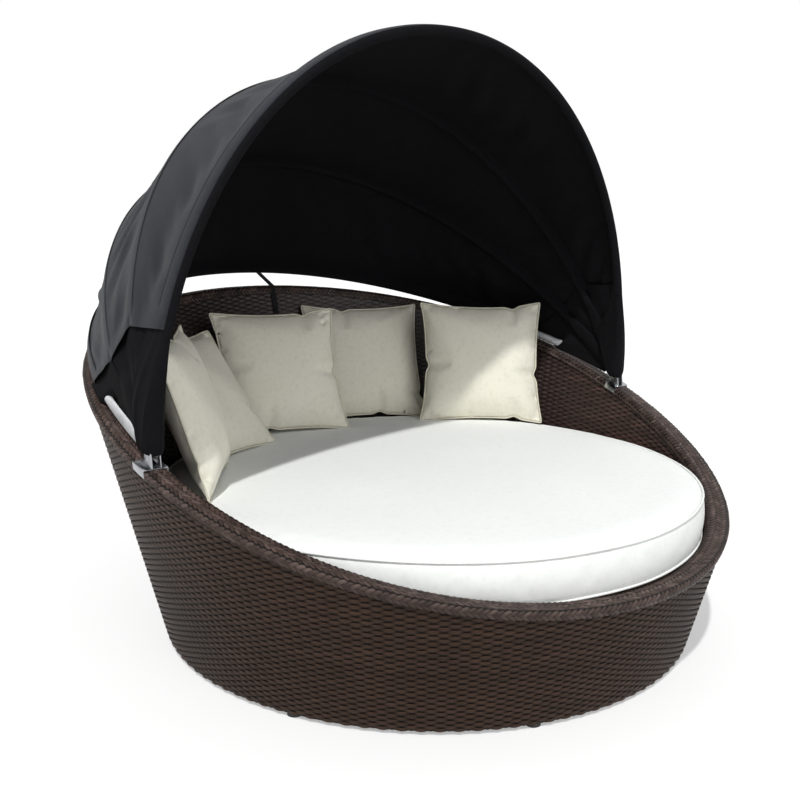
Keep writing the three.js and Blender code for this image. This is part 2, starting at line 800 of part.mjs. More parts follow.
for (const [label, side] of [['left', -1], ['right', 1]]) {
  addPiece(`hinge_bracket_${label}`, mirrored(hingeBracket(), side), brightMetal);
  addPiece(`pivot_bolt_${label}`, mirrored(pivotBolt(), side), brightMetal);
  addPiece(`pivot_nut_${label}`, mirrored(pivotNut(), side), brightMetal);
  for (let order = 1; order < bows.length; order += 1) {
    addPiece(`spacer_washer_${label}_${order}`, mirrored(spacerWasher(order), side), brightMetal);
  }
}

bows.forEach((bow) => addPiece(bow.name, bowGeometry(bow), brightMetal));
bays.forEach((bay) => addPiece(bay.name, bayGeometry(bay), canopyCloth));
addPiece('rear_strap', rearStrap(), canopyCloth);
addPiece('strap_button', strapButton(), plastic);

export default daybed;
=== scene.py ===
import math
import bpy
import numpy as np
from mathutils import Matrix, Vector


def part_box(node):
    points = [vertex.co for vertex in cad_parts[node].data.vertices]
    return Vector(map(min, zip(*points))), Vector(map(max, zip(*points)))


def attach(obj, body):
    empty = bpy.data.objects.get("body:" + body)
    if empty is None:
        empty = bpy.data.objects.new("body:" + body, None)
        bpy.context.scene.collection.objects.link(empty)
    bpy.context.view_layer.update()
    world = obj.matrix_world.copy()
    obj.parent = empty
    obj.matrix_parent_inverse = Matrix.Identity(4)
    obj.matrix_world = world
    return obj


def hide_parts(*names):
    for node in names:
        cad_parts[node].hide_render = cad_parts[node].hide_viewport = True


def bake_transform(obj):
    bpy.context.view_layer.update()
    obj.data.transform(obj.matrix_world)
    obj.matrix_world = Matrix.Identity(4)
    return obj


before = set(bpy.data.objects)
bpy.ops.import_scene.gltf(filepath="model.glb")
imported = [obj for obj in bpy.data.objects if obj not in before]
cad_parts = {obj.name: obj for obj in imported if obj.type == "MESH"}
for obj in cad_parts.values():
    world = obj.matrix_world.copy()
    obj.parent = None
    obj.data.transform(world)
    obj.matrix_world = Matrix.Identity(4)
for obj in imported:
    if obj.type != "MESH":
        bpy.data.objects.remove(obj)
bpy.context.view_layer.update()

# Round woven daybed with a mattress, five loose pillows and a canopy that folds on two hinges.
# Metres, +Z up. -Y is the low front of the rim, +Y the high back, and left is -X seen from the front.

random = np.random.default_rng(7)

# Camera, at the photograph's angle

camera_place = Vector((-2.135, -2.304, 1.299))
camera_azimuth, camera_elevation, camera_roll = (math.radians(a) for a in (-41.454, 10.738, 0.665))
camera_lens = 46.035
camera_shift = (-0.0065, -0.0075)


def add_camera():
    back = Vector((
        math.sin(camera_azimuth) * math.cos(camera_elevation),
        -math.cos(camera_azimuth) * math.cos(camera_elevation),
        math.sin(camera_elevation),
    ))
    level = (-back).cross(Vector((0, 0, 1))).normalized()
    top = level.cross(-back)
    across = level * math.cos(camera_roll) + top * math.sin(camera_roll)
    up = top * math.cos(camera_roll) - level * math.sin(camera_roll)
    data = bpy.data.cameras.new("camera")
    data.lens = camera_lens
    data.sensor_width = 36
    data.shift_x, data.shift_y = camera_shift
    camera = bpy.data.objects.new("camera", data)
    turned = Matrix((across, up, back)).transposed().to_4x4()
    camera.matrix_world = Matrix.Translation(camera_place) @ turned
    bpy.context.scene.collection.objects.link(camera)
    bpy.context.scene.camera = camera


# Materials. One function turns a colour to linear, one adds a node, and one gives a shader its finish.

def linear(code):
    """An sRGB hex colour as linear red, green, blue and full alpha."""
    parts = [int(code[i:i + 2], 16) / 255 for i in (0, 2, 4)]
    return tuple(c / 12.92 if c <= 0.04045 else ((c + 0.055) / 1.055) ** 2.4 for c in parts) + (1.0,)


def new_material(name, code, roughness, **constants):
    """A material whose shader starts from the finish's own constants."""
    material = bpy.data.materials.new(name)
    material.use_nodes = True
    shader = material.node_tree.nodes["Principled BSDF"]
    shader.inputs["Base Color"].default_value = linear(code)
    shader.inputs["Roughness"].default_value = roughness
    for socket, value in constants.items():
        shader.inputs[socket.replace("_", " ")].default_value = value
    return material, material.node_tree, shader.inputs


def add(tree, kind, inputs, **settings):
    """Adds a node with its settings. Each input is a value, or another node's output to link."""
    made = tree.nodes.new("ShaderNode" + kind)
    for key, value in settings.items():
        setattr(made, key, value)
    for key, value in inputs.items():
        if isinstance(value, bpy.types.NodeSocket):
            tree.links.new(value, made.inputs[key])
        else:
            made.inputs[key].default_value = value
    return made.outputs


def bands(pitch):
    """The wave texture's scale at which its bands are a pitch apart, in metres."""
    return 2 * math.pi / 20 / pitch


def finish(tree, shader, code, coats, gloss, reliefs):
    """Colours, dulls and raises a surface. A coat is a colour, the pattern that it follows, the values of
    the pattern where it starts and where it is full, and its share there. The gloss is a pattern and the
    roughness at its low and at its high values. A relief is a pattern, its height in metres and its
    strength."""
    colour = linear(code)
    for coat, pattern, start, full, most in coats:
        spread = {"Value": pattern, "From Min": start, "From Max": full, "To Max": most}
        share = add(tree, "MapRange", spread)["Result"]
        mixed = {"Factor": share, "A": colour, "B": linear(coat)}
        colour = add(tree, "Mix", mixed, data_type="RGBA")["Result"]
    tree.links.new(colour, shader["Base Color"])
    if gloss:
        pattern, low, high = gloss
        spread = {"Value": pattern, "From Min": 0.3, "From Max": 0.7, "To Min": low, "To Max": high}
        tree.links.new(add(tree, "MapRange", spread)["Result"], shader["Roughness"])
    under = {}
    for pattern, height, strength in reliefs:
        raised = {"Height": pattern, "Distance": height, "Strength": strength, **under}
        under = {"Normal": add(tree, "Bump", raised)["Normal"]}
    tree.links.new(under["Normal"], shader["Normal"])


def resin_strand(name, code, light, dark, gloss, shine=0.2):
    """Extruded polyethylene strand: satin skin, die lines along it 1.4 mm apart, batch colour from strand to
    strand, and broad darker patches. Through the tone attribute it also takes painted shade where strands
    dive under others, and painted sunlight on the inner wall."""
    material, tree, shader = new_material(name, code, gloss, IOR=1.5, Specular_IOR_Level=shine)
    along = add(tree, "UVMap", {}, uv_map="uv")["UV"]
    tone = add(tree, "Attribute", {}, attribute_name="tone")["Fac"]
    stretched = add(tree, "Mapping", {"Vector": along, "Scale": (24, 600, 1)})["Vector"]
    streak = add(tree, "TexNoise", {"Vector": stretched, "Scale": 1.0, "Detail": 3.0})["Fac"]
    groove = add(tree, "TexWave", {"Vector": along, "Scale": bands(0.0014)}, bands_direction="Y")["Fac"]
    where = add(tree, "TexCoord", {})["Object"]
    broad = add(tree, "TexNoise", {"Vector": where, "Scale": 3.0, "Detail": 4.0})["Fac"]
    coats = ((light, tone, 0.5, 1, 0.8), (dark, tone, 0.5, 0, 0.85),
             (light, streak, 0.5, 0.75, 0.35), (dark, broad, 0.5, 0.75, 0.3))
    reliefs = (groove, 0.00025, 0.7), (streak, 0.0002, 1)
    finish(tree, shader, code, coats, (streak, gloss - 0.07, gloss + 0.12), reliefs)
    return material


def woven_cloth(name, code, light, dark, thread, sheen, slub_depth, shine=0.2):
    """Plain-woven polyester: matt, with crossing threads, slubs, pile that catches light at the edge of a
    form and a colour that drifts where sun and hands have been. The threads are half a millimetre or less
    on the real cloth and are drawn about three times as coarse, so that they show in a close view."""
    material, tree, shader = new_material(
        name, code, 0.88, Sheen_Weight=sheen, Sheen_Roughness=0.5, IOR=1.48, Specular_IOR_Level=shine)
    cut = add(tree, "UVMap", {}, uv_map="uv")["UV"]
    warp = add(tree, "TexWave", {"Vector": cut, "Scale": bands(thread)}, bands_direction="X")["Fac"]
    weft = add(tree, "TexWave", {"Vector": cut, "Scale": bands(thread)}, bands_direction="Y")["Fac"]
    weave = add(tree, "Math", {0: warp, 1: weft}, operation="MAXIMUM")["Value"]
    where = add(tree, "TexCoord", {})["Object"]
    broad = add(tree, "TexNoise", {"Vector": where, "Scale": 2.6, "Detail": 4.0})["Fac"]
    fine = add(tree, "TexNoise", {"Vector": where, "Scale": 70.0, "Detail": 4.0})["Fac"]
    stretched = add(tree, "Mapping", {"Vector": cut, "Scale": (30, 500, 1)})["Vector"]
    slub = add(tree, "TexNoise", {"Vector": stretched, "Scale": 1.0, "Detail": 3.0})["Fac"]
    coats = ((light, broad, 0.45, 0.75, 0.5), (light, slub, 0.5, 0.75, 0.35),
             (dark, fine, 0.5, 0.3, 0.35), (dark, weave, 0.6, 0, 0.4))
    reliefs = (weave, thread * 0.12, 0.6), (slub, 0.00015, 1), (fine, slub_depth, 0.6)
    finish(tree, shader, code, coats, (broad, 0.8, 0.95), reliefs)
    return material


def metal(name, code, roughness, metallic, grime, line):
    """Drawn or rolled metal: fine lines from the mill along Z, soft smears of oxide and fingerprints."""
    material, tree, shader = new_material(name, code, roughness, Metallic=metallic)
    where = add(tree, "TexCoord", {})["Object"]
    stretched = add(tree, "Mapping", {"Vector": where, "Scale": (1 / line, 1 / line, 12)})["Vector"]
    lines = add(tree, "TexNoise", {"Vector": stretched, "Scale": 1.0, "Detail": 2.0})["Fac"]
    smears = add(tree, "TexNoise", {"Vector": where, "Scale": 28.0, "Detail": 5.0})["Fac"]
    coats = [(grime, smears, 0.5, 0.8, 0.5)]
    finish(tree, shader, code, coats, (smears, roughness * 0.75, roughness * 1.5), [(lines, 0.00005, 1)])
    return material


def moulded(name, code, light, roughness, grain):
    """Moulded nylon or baked powder coat: an even skin, finely pebbled and paler where it is scuffed."""
    material, tree, shader = new_material(name, code, roughness, IOR=1.53)
    where = add(tree, "TexCoord", {})["Object"]
    pebble = add(tree, "TexVoronoi", {"Vector": where, "Scale": 1 / grain})["Distance"]
    scuff = add(tree, "TexNoise", {"Vector": where, "Scale": 24.0, "Detail": 6.0})["Fac"]
    coats = [(light, scuff, 0.5, 0.8, 0.6)]
    reliefs = [(pebble, grain * 0.08, 1)]
    finish(tree, shader, code, coats, (scuff, roughness - 0.08, roughness + 0.12), reliefs)
    return material


def plywood(name, code, pore):
    """Outdoor birch ply under a brown stain: long grain 4 mm apart, darker in the pores."""
    material, tree, shader = new_material(name, code, 0.62, IOR=1.5)
    where = add(tree, "TexCoord", {})["Object"]
    stretched = add(tree, "Mapping", {"Vector": where, "Scale": (6, 250, 6)})["Vector"]
    grain = add(tree, "TexNoise", {"Vector": stretched, "Scale": 1.0, "Detail": 5.0})["Fac"]
    finish(tree, shader, code, [(pore, grain, 0.45, 0.7, 1)], None, [(grain, 0.0004, 1)])
    return material


wicker = resin_strand("resin_wicker", "302219", "4e3a2f", "120c08", 0.42, 0.13)
# The inner wicker's light and dark colours carry its painted sunlight and painted shade.
wicker_inside = resin_strand("resin_wicker_inside", "2f211d", "6d4f47", "0c0807", 0.34, 0.45)
plait = resin_strand("resin_plait", "3d302b", "685751", "1a1311", 0.42)
# Painted shade: a resin darker than the strands, for what shows only in gaps: the stakes, the core behind
# each skin and the band under the plait.
gap_resin_shaded = resin_strand("resin_gaps_painted_shade", "1c1410", "2c201a", "0c0806", 0.5)
canopy_cloth = woven_cloth("canopy_polyester", "27282d", "373940", "18191c", 0.0016, 0.12, 0.0005, 0.12)
# Near-black cloth: a dark lining on socks, pockets and drapes, lining and painted shade on the fans, and
# painted shade on the canopy's underside and turned-under sleeve edges.
canopy_lining_and_shade = woven_cloth("canopy_lining_and_shade", "121214", "1c1c1f", "0a0a0c", 0.0016, 0.0, 0.0005, 0.07)
mattress_cloth = woven_cloth("mattress_cover_cloth", "f1f2ef", "f8f9f6", "e4e6e2", 0.0012, 0.08, 0.0003)
pillow_cloth = woven_cloth("pillow_cover_cloth", "e7e3d3", "efecdf", "d2cdbc", 0.0012, 0.12, 0.0004)
piping_cloth = woven_cloth("pillow_piping_cloth", "d3cebc", "dcd8c8", "b3ad9a", 0.0009, 0.1, 0.0002)
webbing = woven_cloth("polyester_webbing", "1a1a1c", "2a2a2d", "0e0e0f", 0.0022, 0.1, 0.0002)
thread = moulded("polyester_thread", "34353a", "45464d", 0.7, 0.0006)
bow_metal = metal("white_anodised_tube", "dcdddf", 0.3, 0.35, "b4b3b1", 0.0006)
bracket_metal = metal("polished_stainless", "a9abaf", 0.2, 1.0, "6f6e6c", 0.0005)
frame_coat = moulded("powder_coated_steel", "382d28", "4a3d37", 0.5, 0.0009)
nylon = moulded("moulded_nylon", "1c1a19", "2e2b29", 0.55, 0.0008)
deck_wood = plywood("stained_plywood", "4a3527", "2b1d14")

# Modelling helpers

weld = 0.00002


def begin(piece):
    bpy.ops.object.select_all(action="DESELECT")
    piece.select_set(True)
    bpy.context.view_layer.objects.active = piece


def take(name, *materials):
    """Names the object that an operator has just added, and gives it its materials."""
    piece = bpy.context.object
    piece.name = piece.data.name = name
    piece.data.materials.clear()
    for material in materials:
        piece.data.materials.append(material)
    return piece


def add_grid(name, columns, rows, *materials):
    """A flat grid from (0, 0) to (1, 1), facing up."""
    bpy.ops.object.select_all(action="DESELECT")
    bpy.ops.mesh.primitive_grid_add(
        x_subdivisions=columns, y_subdivisions=rows, size=1, location=(0.5, 0.5, 0))
    bpy.ops.object.transform_apply(location=True, rotation=True, scale=True)
    return take(name, *materials)


def read(items, key, size, kind=np.float32):
    """One row of values for each point, corner or face of a mesh."""
    values = np.empty(len(items) * size, kind)
    items.foreach_get(key, values)
    return values.reshape(-1, size)


def places(piece):
    return read(piece.data.vertices, "co", 3).astype(float)


def place(piece, points):
    piece.data.vertices.foreach_set("co", np.asarray(points, np.float32).ravel())
    piece.data.update()


def settle(piece, kind, **settings):
    """Adds a modifier and applies it."""
    modifier = piece.modifiers.new(kind.lower(), kind)
    for key, value in settings.items():
        setattr(modifier, key, value)
    begin(piece)
    bpy.ops.object.modifier_apply(modifier=modifier.name)


def repeat(piece, count, step):
    """Copies the mesh along a step."""
    settle(piece, "ARRAY", count=count, use_relative_offset=False, use_constant_offset=True,
           constant_offset_displace=step)


def edit(piece, chosen, *steps):
    """Selects vertices by a mask and runs edit-mode operators on them, each a name and its settings."""
    begin(piece)
    mesh = piece.data
    for part in (mesh.edges, mesh.polygons):
        part.foreach_set("select", np.zeros(len(part), bool))
    mesh.vertices.foreach_set("select", np.asarray(chosen, bool))
    bpy.ops.object.mode_set(mode="EDIT")
    bpy.ops.mesh.select_mode(type="VERT")
    for operator, settings in steps:
        getattr(bpy.ops.mesh, operator)(**settings)
    bpy.ops.object.mode_set(mode="OBJECT")


def everything(piece):
    return np.ones(len(piece.data.vertices), bool)


def merge(piece, reach):
    """Joins points that lie on one another."""
    edit(piece, everything(piece), ("remove_doubles", {"threshold": reach}))


def smooth(piece, angle=None):
    begin(piece)
    if angle is None:
        bpy.ops.object.shade_smooth()
    else:
        bpy.ops.object.shade_smooth_by_angle(angle=math.radians(angle))


def corner_points(piece):
    return read(piece.data.loops, "vertex_index", 1, np.int32)[:, 0]


def lay_uv(piece, uv):
    """Gives every corner its UV, in metres of strand or cloth."""
    mesh = piece.data
    while mesh.uv_layers:
        mesh.uv_layers.remove(mesh.uv_layers[0])
    mesh.uv_layers.new(name="uv").data.foreach_set("uv", np.asarray(uv, np.float32).ravel())


def write_uv(piece, uv):
    """Gives every corner the UV of its point."""
    lay_uv(piece, np.asarray(uv, np.float32)[corner_points(piece)])


def write_tone(piece, tone):
    layer = piece.data.attributes.new("tone", "FLOAT", "POINT")
    layer.data.foreach_set("value", np.clip(tone, 0, 1).astype(np.float32))


def join(pieces):
    begin(pieces[0])
    for piece in pieces:
        piece.select_set(True)
    bpy.ops.object.join()
    return pieces[0]


def fit(piece, slot, body, *nodes):
    """Gives a finished piece its body, and hides the nodes that it stands for. Its slot is not used."""
    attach(piece, body)
    if nodes:
        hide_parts(*nodes)


def smoothstep(x, low, high):
    t = np.clip((np.asarray(x, float) - low) / (high - low), 0, 1)
    return t * t * (3 - 2 * t)


def unit(v):
    return v / np.linalg.norm(v, axis=-1, keepdims=True)


def run_along(points):
    """How far along a line of points each of them is."""
    return np.r_[0, np.cumsum(np.linalg.norm(np.diff(points, axis=0), axis=1))]


def between(at, run, points):
    """Points on a line, at distances along it."""
    return np.stack([np.interp(at, run, column) for column in np.transpose(points)], -1)


def around_axis(radius, angle, height):
    return np.stack([radius * np.cos(angle), radius * np.sin(angle), height], -1)


def ripple(seed, count, low, high):
    """A smooth uneven line: a few sines whose rates and starts come from a seed."""
    made = np.random.default_rng(seed)
    waves = list(zip(made.uniform(low, high, count), made.uniform(0, 2 * math.pi, count)))
    share = count ** 0.5
    return lambda x: sum(np.sin(rate * np.asarray(x, float) + start) for rate, start in waves) / share


# Tub, from the same two functions as the solids: the height of the rim and the radius of the wall

floor_radius, wall_flare = 0.818, 0.263
rim_front, rim_back = 0.333, 0.965
rim_shares = (0.659, 0.807, -0.466)
wall_depth = 0.0534
slant = math.hypot(1, wall_flare)


def rim_height(angle):
    turned = (1 + np.sin(angle)) / 2
    share = sum(v * turned ** (i + 1) for i, v in enumerate(rim_shares))
    return rim_front + (rim_back - rim_front) * share


def wall_radius(height):
    return floor_radius + wall_flare * height


# Weave. One strand is modelled in stakes and rows, copied along and up, and then laid on the wall.

stake_count = 216
stake_turn = 2 * math.pi / stake_count
stake_pitch = 0.0255
stake_half_width = 0.18
row_pitch = 0.0086
row_rise = row_pitch / slant
strand_fill, strand_swell = 1.04, 0.22
strand_swing, strand_crown = 0.0021, 0.0009
skin_middle = 0.003
weave_foot = 0.0125
lining_foot = 0.322
rim_tuck = 0.014
row_tone = random.normal(0, 1, 211)
strand_tone = random.normal(0, 1, 997)
row_spread, strand_spread = 0.05, 0.08
# Weave tones: a base, painted sunlight on the inner wall that falls to painted shade at its back, and painted
# shade where a strand dives under.
tone_base, painted_sun_tone, painted_dip_shade = 0.22, 0.5, 0.65
painted_sun_reach = (-0.6, 0.1)
hand_beat, beat_height = ripple(3, 5, 0.6, 3.2), 0.0004
row_shift = 0.37
stake_depth, core_depth = 0.0035, 0.0059


def woven_strand(name, material):
    """One strand over a stake, from behind the stake before it to behind the stake after."""
    piece = add_grid(name, 6, 2, material)
    flat = places(piece) * [2, 2, 1] - [1, 1, 0]
    over = np.cos(math.pi * flat[:, 0])
    rise = strand_swing * over + strand_crown * (1 - flat[:, 1] ** 2)
    width = flat[:, 1] / 2 * strand_fill * (1 + strand_swell * over)
    place(piece, np.stack([flat[:, 0], width, rise], -1))
    smooth(piece)
    return piece


def woven_wall(name, depth, face, foot, first, count, node):
    """Strands from one stake on, a number of pairs of stakes round, up to the rim. Face is 1 for the outer
    skin and -1 for the inner one."""
    piece = woven_strand(name, wicker if face > 0 else wicker_inside)
    rows = 2 * math.ceil((rim_back - foot) / row_rise / 2)
    repeat(piece, 2, (1, 1, 0))
    repeat(piece, rows // 2, (0, 2, 0))
    repeat(piece, count, (2, 0, 0))
    flat = places(piece)
    row = np.rint(flat[:, 1]).astype(int)
    stake = flat[:, 0] + first
    angle = face * stake * stake_turn - math.pi / 2
    height = foot + (flat[:, 1] + 0.5) * row_rise + beat_height * hand_beat(angle * 9 + row * 1.7)
    radius = wall_radius(height) - depth + face * flat[:, 2] / slant
    cell = np.rint((stake - row % 2) / 2).astype(int)
    # Painted shade: a strand is darker where it dives under its neighbours.
    dip_shade = 1 - smoothstep(flat[:, 2], -strand_swing, strand_swing)
    # Painted light: the inner wall is lighter towards the front, where the sun falls, and darker at the back,
    # in the canopy's shade.
    sun = 1 if face > 0 else smoothstep(-radius * np.sin(angle), *painted_sun_reach)
    batch = row_spread * row_tone[row % 211] + strand_spread * strand_tone[(cell * 7 + row * 31) % 997]
    write_tone(piece, tone_base + painted_sun_tone * sun - painted_dip_shade * dip_shade + batch)
    across = (flat[:, 1] - row + 0.5) * row_pitch
    write_uv(piece, np.stack([stake * stake_pitch + row * row_shift, across], -1))
    place(piece, around_axis(radius, angle, height))
    edit(piece, height > rim_height(angle) - rim_tuck, ("delete", {"type": "VERT"}))
    fit(piece, "wicker", "tub", node)


def stand_in_wall(piece, depth, face, foot, turn, tone, across):
    """Stands a sheet of unit height in the wall, from its foot up to the rim, and closes it round the tub."""
    flat = places(piece)
    angle = face * flat[:, 0] * turn - math.pi / 2
    height = foot + (rim_height(angle) - rim_tuck - foot) * flat[:, 1]
    write_tone(piece, np.full(len(flat), tone))
    write_uv(piece, np.stack([height, across(flat[:, 0])], -1))
    place(piece, around_axis(wall_radius(height) - depth, angle, height))


def wall_stakes(name, depth, face, foot):
    """The flat uprights that the strands are woven round."""
    piece = add_grid(name, 1, 8, gap_resin_shaded)
    place(piece, (places(piece) - [0.5, 0, 0]) * [2 * stake_half_width, 1, 1])
    repeat(piece, stake_count, (1, 0, 0))
    stand_in_wall(piece, depth, face, foot, stake_turn, 0.5, lambda x: x % 1 * 0.009)
    fit(piece, "wicker", "tub")


def wall_core(name, depth, face, foot):
    """The back of a woven skin, where strands cross behind the stakes and close it to light."""
    piece = add_grid(name, stake_count, 4, gap_resin_shaded)
    # A tone of 0.3 makes the core darker still than the stakes, as painted shade deeper in the wall.
    stand_in_wall(piece, depth, face, foot, 2 * math.pi, 0.3, lambda x: x * 5.5)
    merge(piece, weld)
    smooth(piece)
    fit(piece, "wicker", "tub")


def add_walls():
    half = stake_count // 4
    woven_wall("outer_weave_right", skin_middle, 1, weave_foot, 0, half, "outer_shell")
    woven_wall("outer_weave_left", skin_middle, 1, weave_foot, 2 * half, half, "outer_shell")
    woven_wall("inner_weave", wall_depth - skin_middle, -1, lining_foot, 0, 2 * half, "inner_backrest")
    for make, part, depth in ((wall_stakes, "stakes", stake_depth), (wall_core, "core", core_depth)):
        make(f"outer_{part}", depth, 1, weave_foot)
        make(f"inner_{part}", wall_depth - depth, -1, lining_foot)


# Plait over the rim: one short strand, leaning one way and then the other in rows over the band

band_proud, band_skirt, band_round = 0.0041, 0.026, 0.007
plait_rows = (0.0064, 0.0192, 0.0395, 0.0541, 0.0687, 0.0890, 0.1018)
plait_spacing = 0.0166
plait_cells = (6, 3)
plait_length, plait_width, plait_lift = 0.0295, 0.0098, 0.0038
plait_sunk, plait_tilt = 0.0013, 0.0009
plait_lean = math.radians(34)
plait_batch, plait_uneven = 0.17, 0.0004


def band_section():
    """Depth into the wall and height over the rim, from the foot of the outer skirt over the top to the
    foot of the inner one."""
    outer, inner = -band_proud, wall_depth + band_proud
    turn = np.linspace(0, math.pi / 2, 7)
    down, up = band_round * np.cos(turn), band_round * np.sin(turn)
    first = np.stack([outer + band_round - down, up - band_round], -1)
    second = np.stack([inner - band_round + up, down - band_round], -1)
    return np.concatenate([[[outer, -band_skirt]], first, second, [[inner, -band_skirt]]])


band_line = band_section()
band_run = run_along(band_line)


def on_band(angle, run, lift):
    """A point on the band, a run along its section and lifted off it."""
    step = 0.0015
    depth, rise = between(run, band_run, band_line).T
    along = (between(run + step, band_run, band_line) - between(run - step, band_run, band_line)).T
    along /= np.hypot(*along) + 1e-9
    height = rim_height(angle) + rise + along[0] * lift
    return around_axis(wall_radius(height) - depth + along[1] * lift, angle, height)


def rim_stations():
    """Angle against the run round the rim, and how many plait strands go round."""
    angle = np.linspace(-math.pi / 2, 3 * math.pi / 2, 4001)
    run = run_along(on_band(angle, np.full_like(angle, band_run[-1] / 2), 0))
    return angle, run, int(run[-1] / plait_spacing)


def plait_row(order, centre, spacing, count):
    """A row of strands in steps round the rim. The rows lean one way and the other in turn."""
    piece = add_grid(f"rim_plait_{order}", *plait_cells, plait)
    flat = places(piece) * [2, 2, 1] - [1, 1, 0]
    a, b = flat[:, 0], flat[:, 1]
    half_length, half_width = a * plait_length / 2, b * plait_width / 2
    along = half_length * math.cos(plait_lean) - half_width * math.sin(plait_lean)
    rise = half_length * math.sin(plait_lean) + half_width * math.cos(plait_lean)
    lift = plait_lift * np.sqrt(1 - 0.85 * b ** 2) * (1 - 0.8 * a ** 4) - plait_sunk - plait_tilt * a
    way = 1 if order % 2 else -1
    place(piece, np.stack([along / spacing + order % 3 / 3, centre + way * rise, lift], -1))
    write_uv(piece, np.stack([half_length, half_width + plait_width / 2], -1))
    # Painted shade: each strand darkens towards its ends, where it tucks under the next.
    write_tone(piece, 0.6 - 0.35 * np.abs(a) ** 3)
    if way < 0:
        edit(piece, everything(piece), ("flip_normals", {}))
    repeat(piece, count, (1, 0, 0))
    return piece


def add_plait():
    angle, run, count = rim_stations()
    spacing = run[-1] / count
    piece = join([plait_row(order, centre, spacing, count) for order, centre in enumerate(plait_rows)])
    piece.name = "rim_plait"
    flat = places(piece)
    cell = np.arange(len(flat)) // ((plait_cells[0] + 1) * (plait_cells[1] + 1))
    layer = piece.data.attributes["tone"].data
    tone = read(layer, "value", 1)[:, 0] + plait_batch * strand_tone[cell % 997]
    layer.foreach_set("value", np.clip(tone, 0, 1).astype(np.float32))
    uneven = plait_uneven * strand_tone[cell * 3 % 997]
    turn = np.interp(flat[:, 0] * spacing % run[-1], run, angle)
    place(piece, on_band(turn, flat[:, 1] + uneven, flat[:, 2] + uneven * 0.4))
    smooth(piece)
    fit(piece, "braid", "tub")


# Soft pieces: simulated together, then set in their places

sim_frames = 22
cloth_nature = {
    "quality": 5, "mass": 0.25, "tension_stiffness": 20, "compression_stiffness": 20, "shear_stiffness": 8,
    "bending_stiffness": 0.3, "air_damping": 4, "use_pressure": True,
}
mattress_radius, mattress_offset, mattress_foot = 0.828, 0.015, 0.3299
seam_top, seam_top_radius = 0.1262, 0.8262
seam_foot, seam_foot_radius = 0.0092, 0.8276
mattress_height, mattress_roll, mattress_lift = 0.146, 0.014, 0.0004
side_swell = 0.005
mattress_cells, side_cuts = 84, 6
cord_radius, cord_out, cord_sway, cord_points = 0.0036, 0.0008, 0.0007, 720


def disc(square):
    """A square from -1 to 1 drawn out to a round disc, with even cells."""
    x, y = square[:, 0], square[:, 1]
    wide = np.abs(x) > np.abs(y)
    radius = np.where(wide, x, y)
    safe = np.where(radius == 0, 1, radius)
    turn = np.where(wide, math.pi / 4 * y / safe, math.pi / 2 - math.pi / 4 * x / safe)
    return np.stack([radius * np.cos(turn), radius * np.sin(turn)], -1)


def mattress_face(name, radius, height):
    piece = add_grid(name, mattress_cells, mattress_cells, mattress_cloth)
    flat = disc(places(piece) * 2 - 1)
    reach = np.linalg.norm(flat, axis=1)
    place(piece, np.column_stack([flat * radius, height(reach)]))
    return piece


def mattress_blank():
    """Top and bottom panels, bridged by the boxing between the two seams."""
    def top_height(reach):
        roll = 1 - np.exp(-(1 - reach) * mattress_radius / mattress_roll)
        crown = mattress_height - seam_top
        return mattress_foot + seam_top + crown * (0.62 * roll + 0.38 * (1 - reach ** 2))

    def foot_height(reach):
        roll = np.exp(-(1 - reach) * mattress_radius / mattress_roll)
        return mattress_foot + mattress_lift + (seam_foot - mattress_lift) * roll

    piece = join([
        mattress_face("mattress_cover", seam_top_radius, top_height),
        mattress_face("mattress_bottom", seam_foot_radius, foot_height),
    ])
    flat = places(piece)
    edge = np.hypot(flat[:, 0], flat[:, 1]) > seam_top_radius - 1e-4
    edit(piece, edge, ("bridge_edge_loops", {"number_cuts": side_cuts}))
    edit(piece, everything(piece), ("normals_make_consistent", {"inside": False}))
    flat = places(piece)
    share = np.clip((flat[:, 2] - mattress_foot - seam_foot) / (seam_top - seam_foot), 0, 1)
    reach = np.hypot(flat[:, 0], flat[:, 1])
    side = reach > seam_top_radius - 1e-4
    swell = np.where(side, 1 + side_swell * np.sin(math.pi * share) ** 0.7 / reach.clip(0.1), 1)
    flat[:, :2] *= swell[:, None]
    flat[:, 1] -= mattress_offset
    place(piece, flat)
    pinned = (side & ((share < 0.001) | (share > 0.999))) | ((share < 0.001) & (reach < seam_top_radius))
    return piece, np.flatnonzero(pinned)


def mattress_uv(piece):
    """Lays the panels flat as plan, and the boxing round by its run, with no jump where the round closes."""
    normal, centre = (np.repeat(read(piece.data.polygons, key, 3), 4, 0) for key in ("normal", "center"))
    at = places(piece)[corner_points(piece)]
    middle = np.arctan2(centre[:, 1] + mattress_offset, centre[:, 0])
    turn = np.arctan2(at[:, 1] + mattress_offset, at[:, 0]) - middle
    turn = (turn + math.pi) % (2 * math.pi) - math.pi + middle
    round_side = np.stack([turn * mattress_radius, at[:, 2]], -1)
    lay_uv(piece, np.where(np.abs(normal[:, 2:]) > 0.6, at[:, :2], round_side))


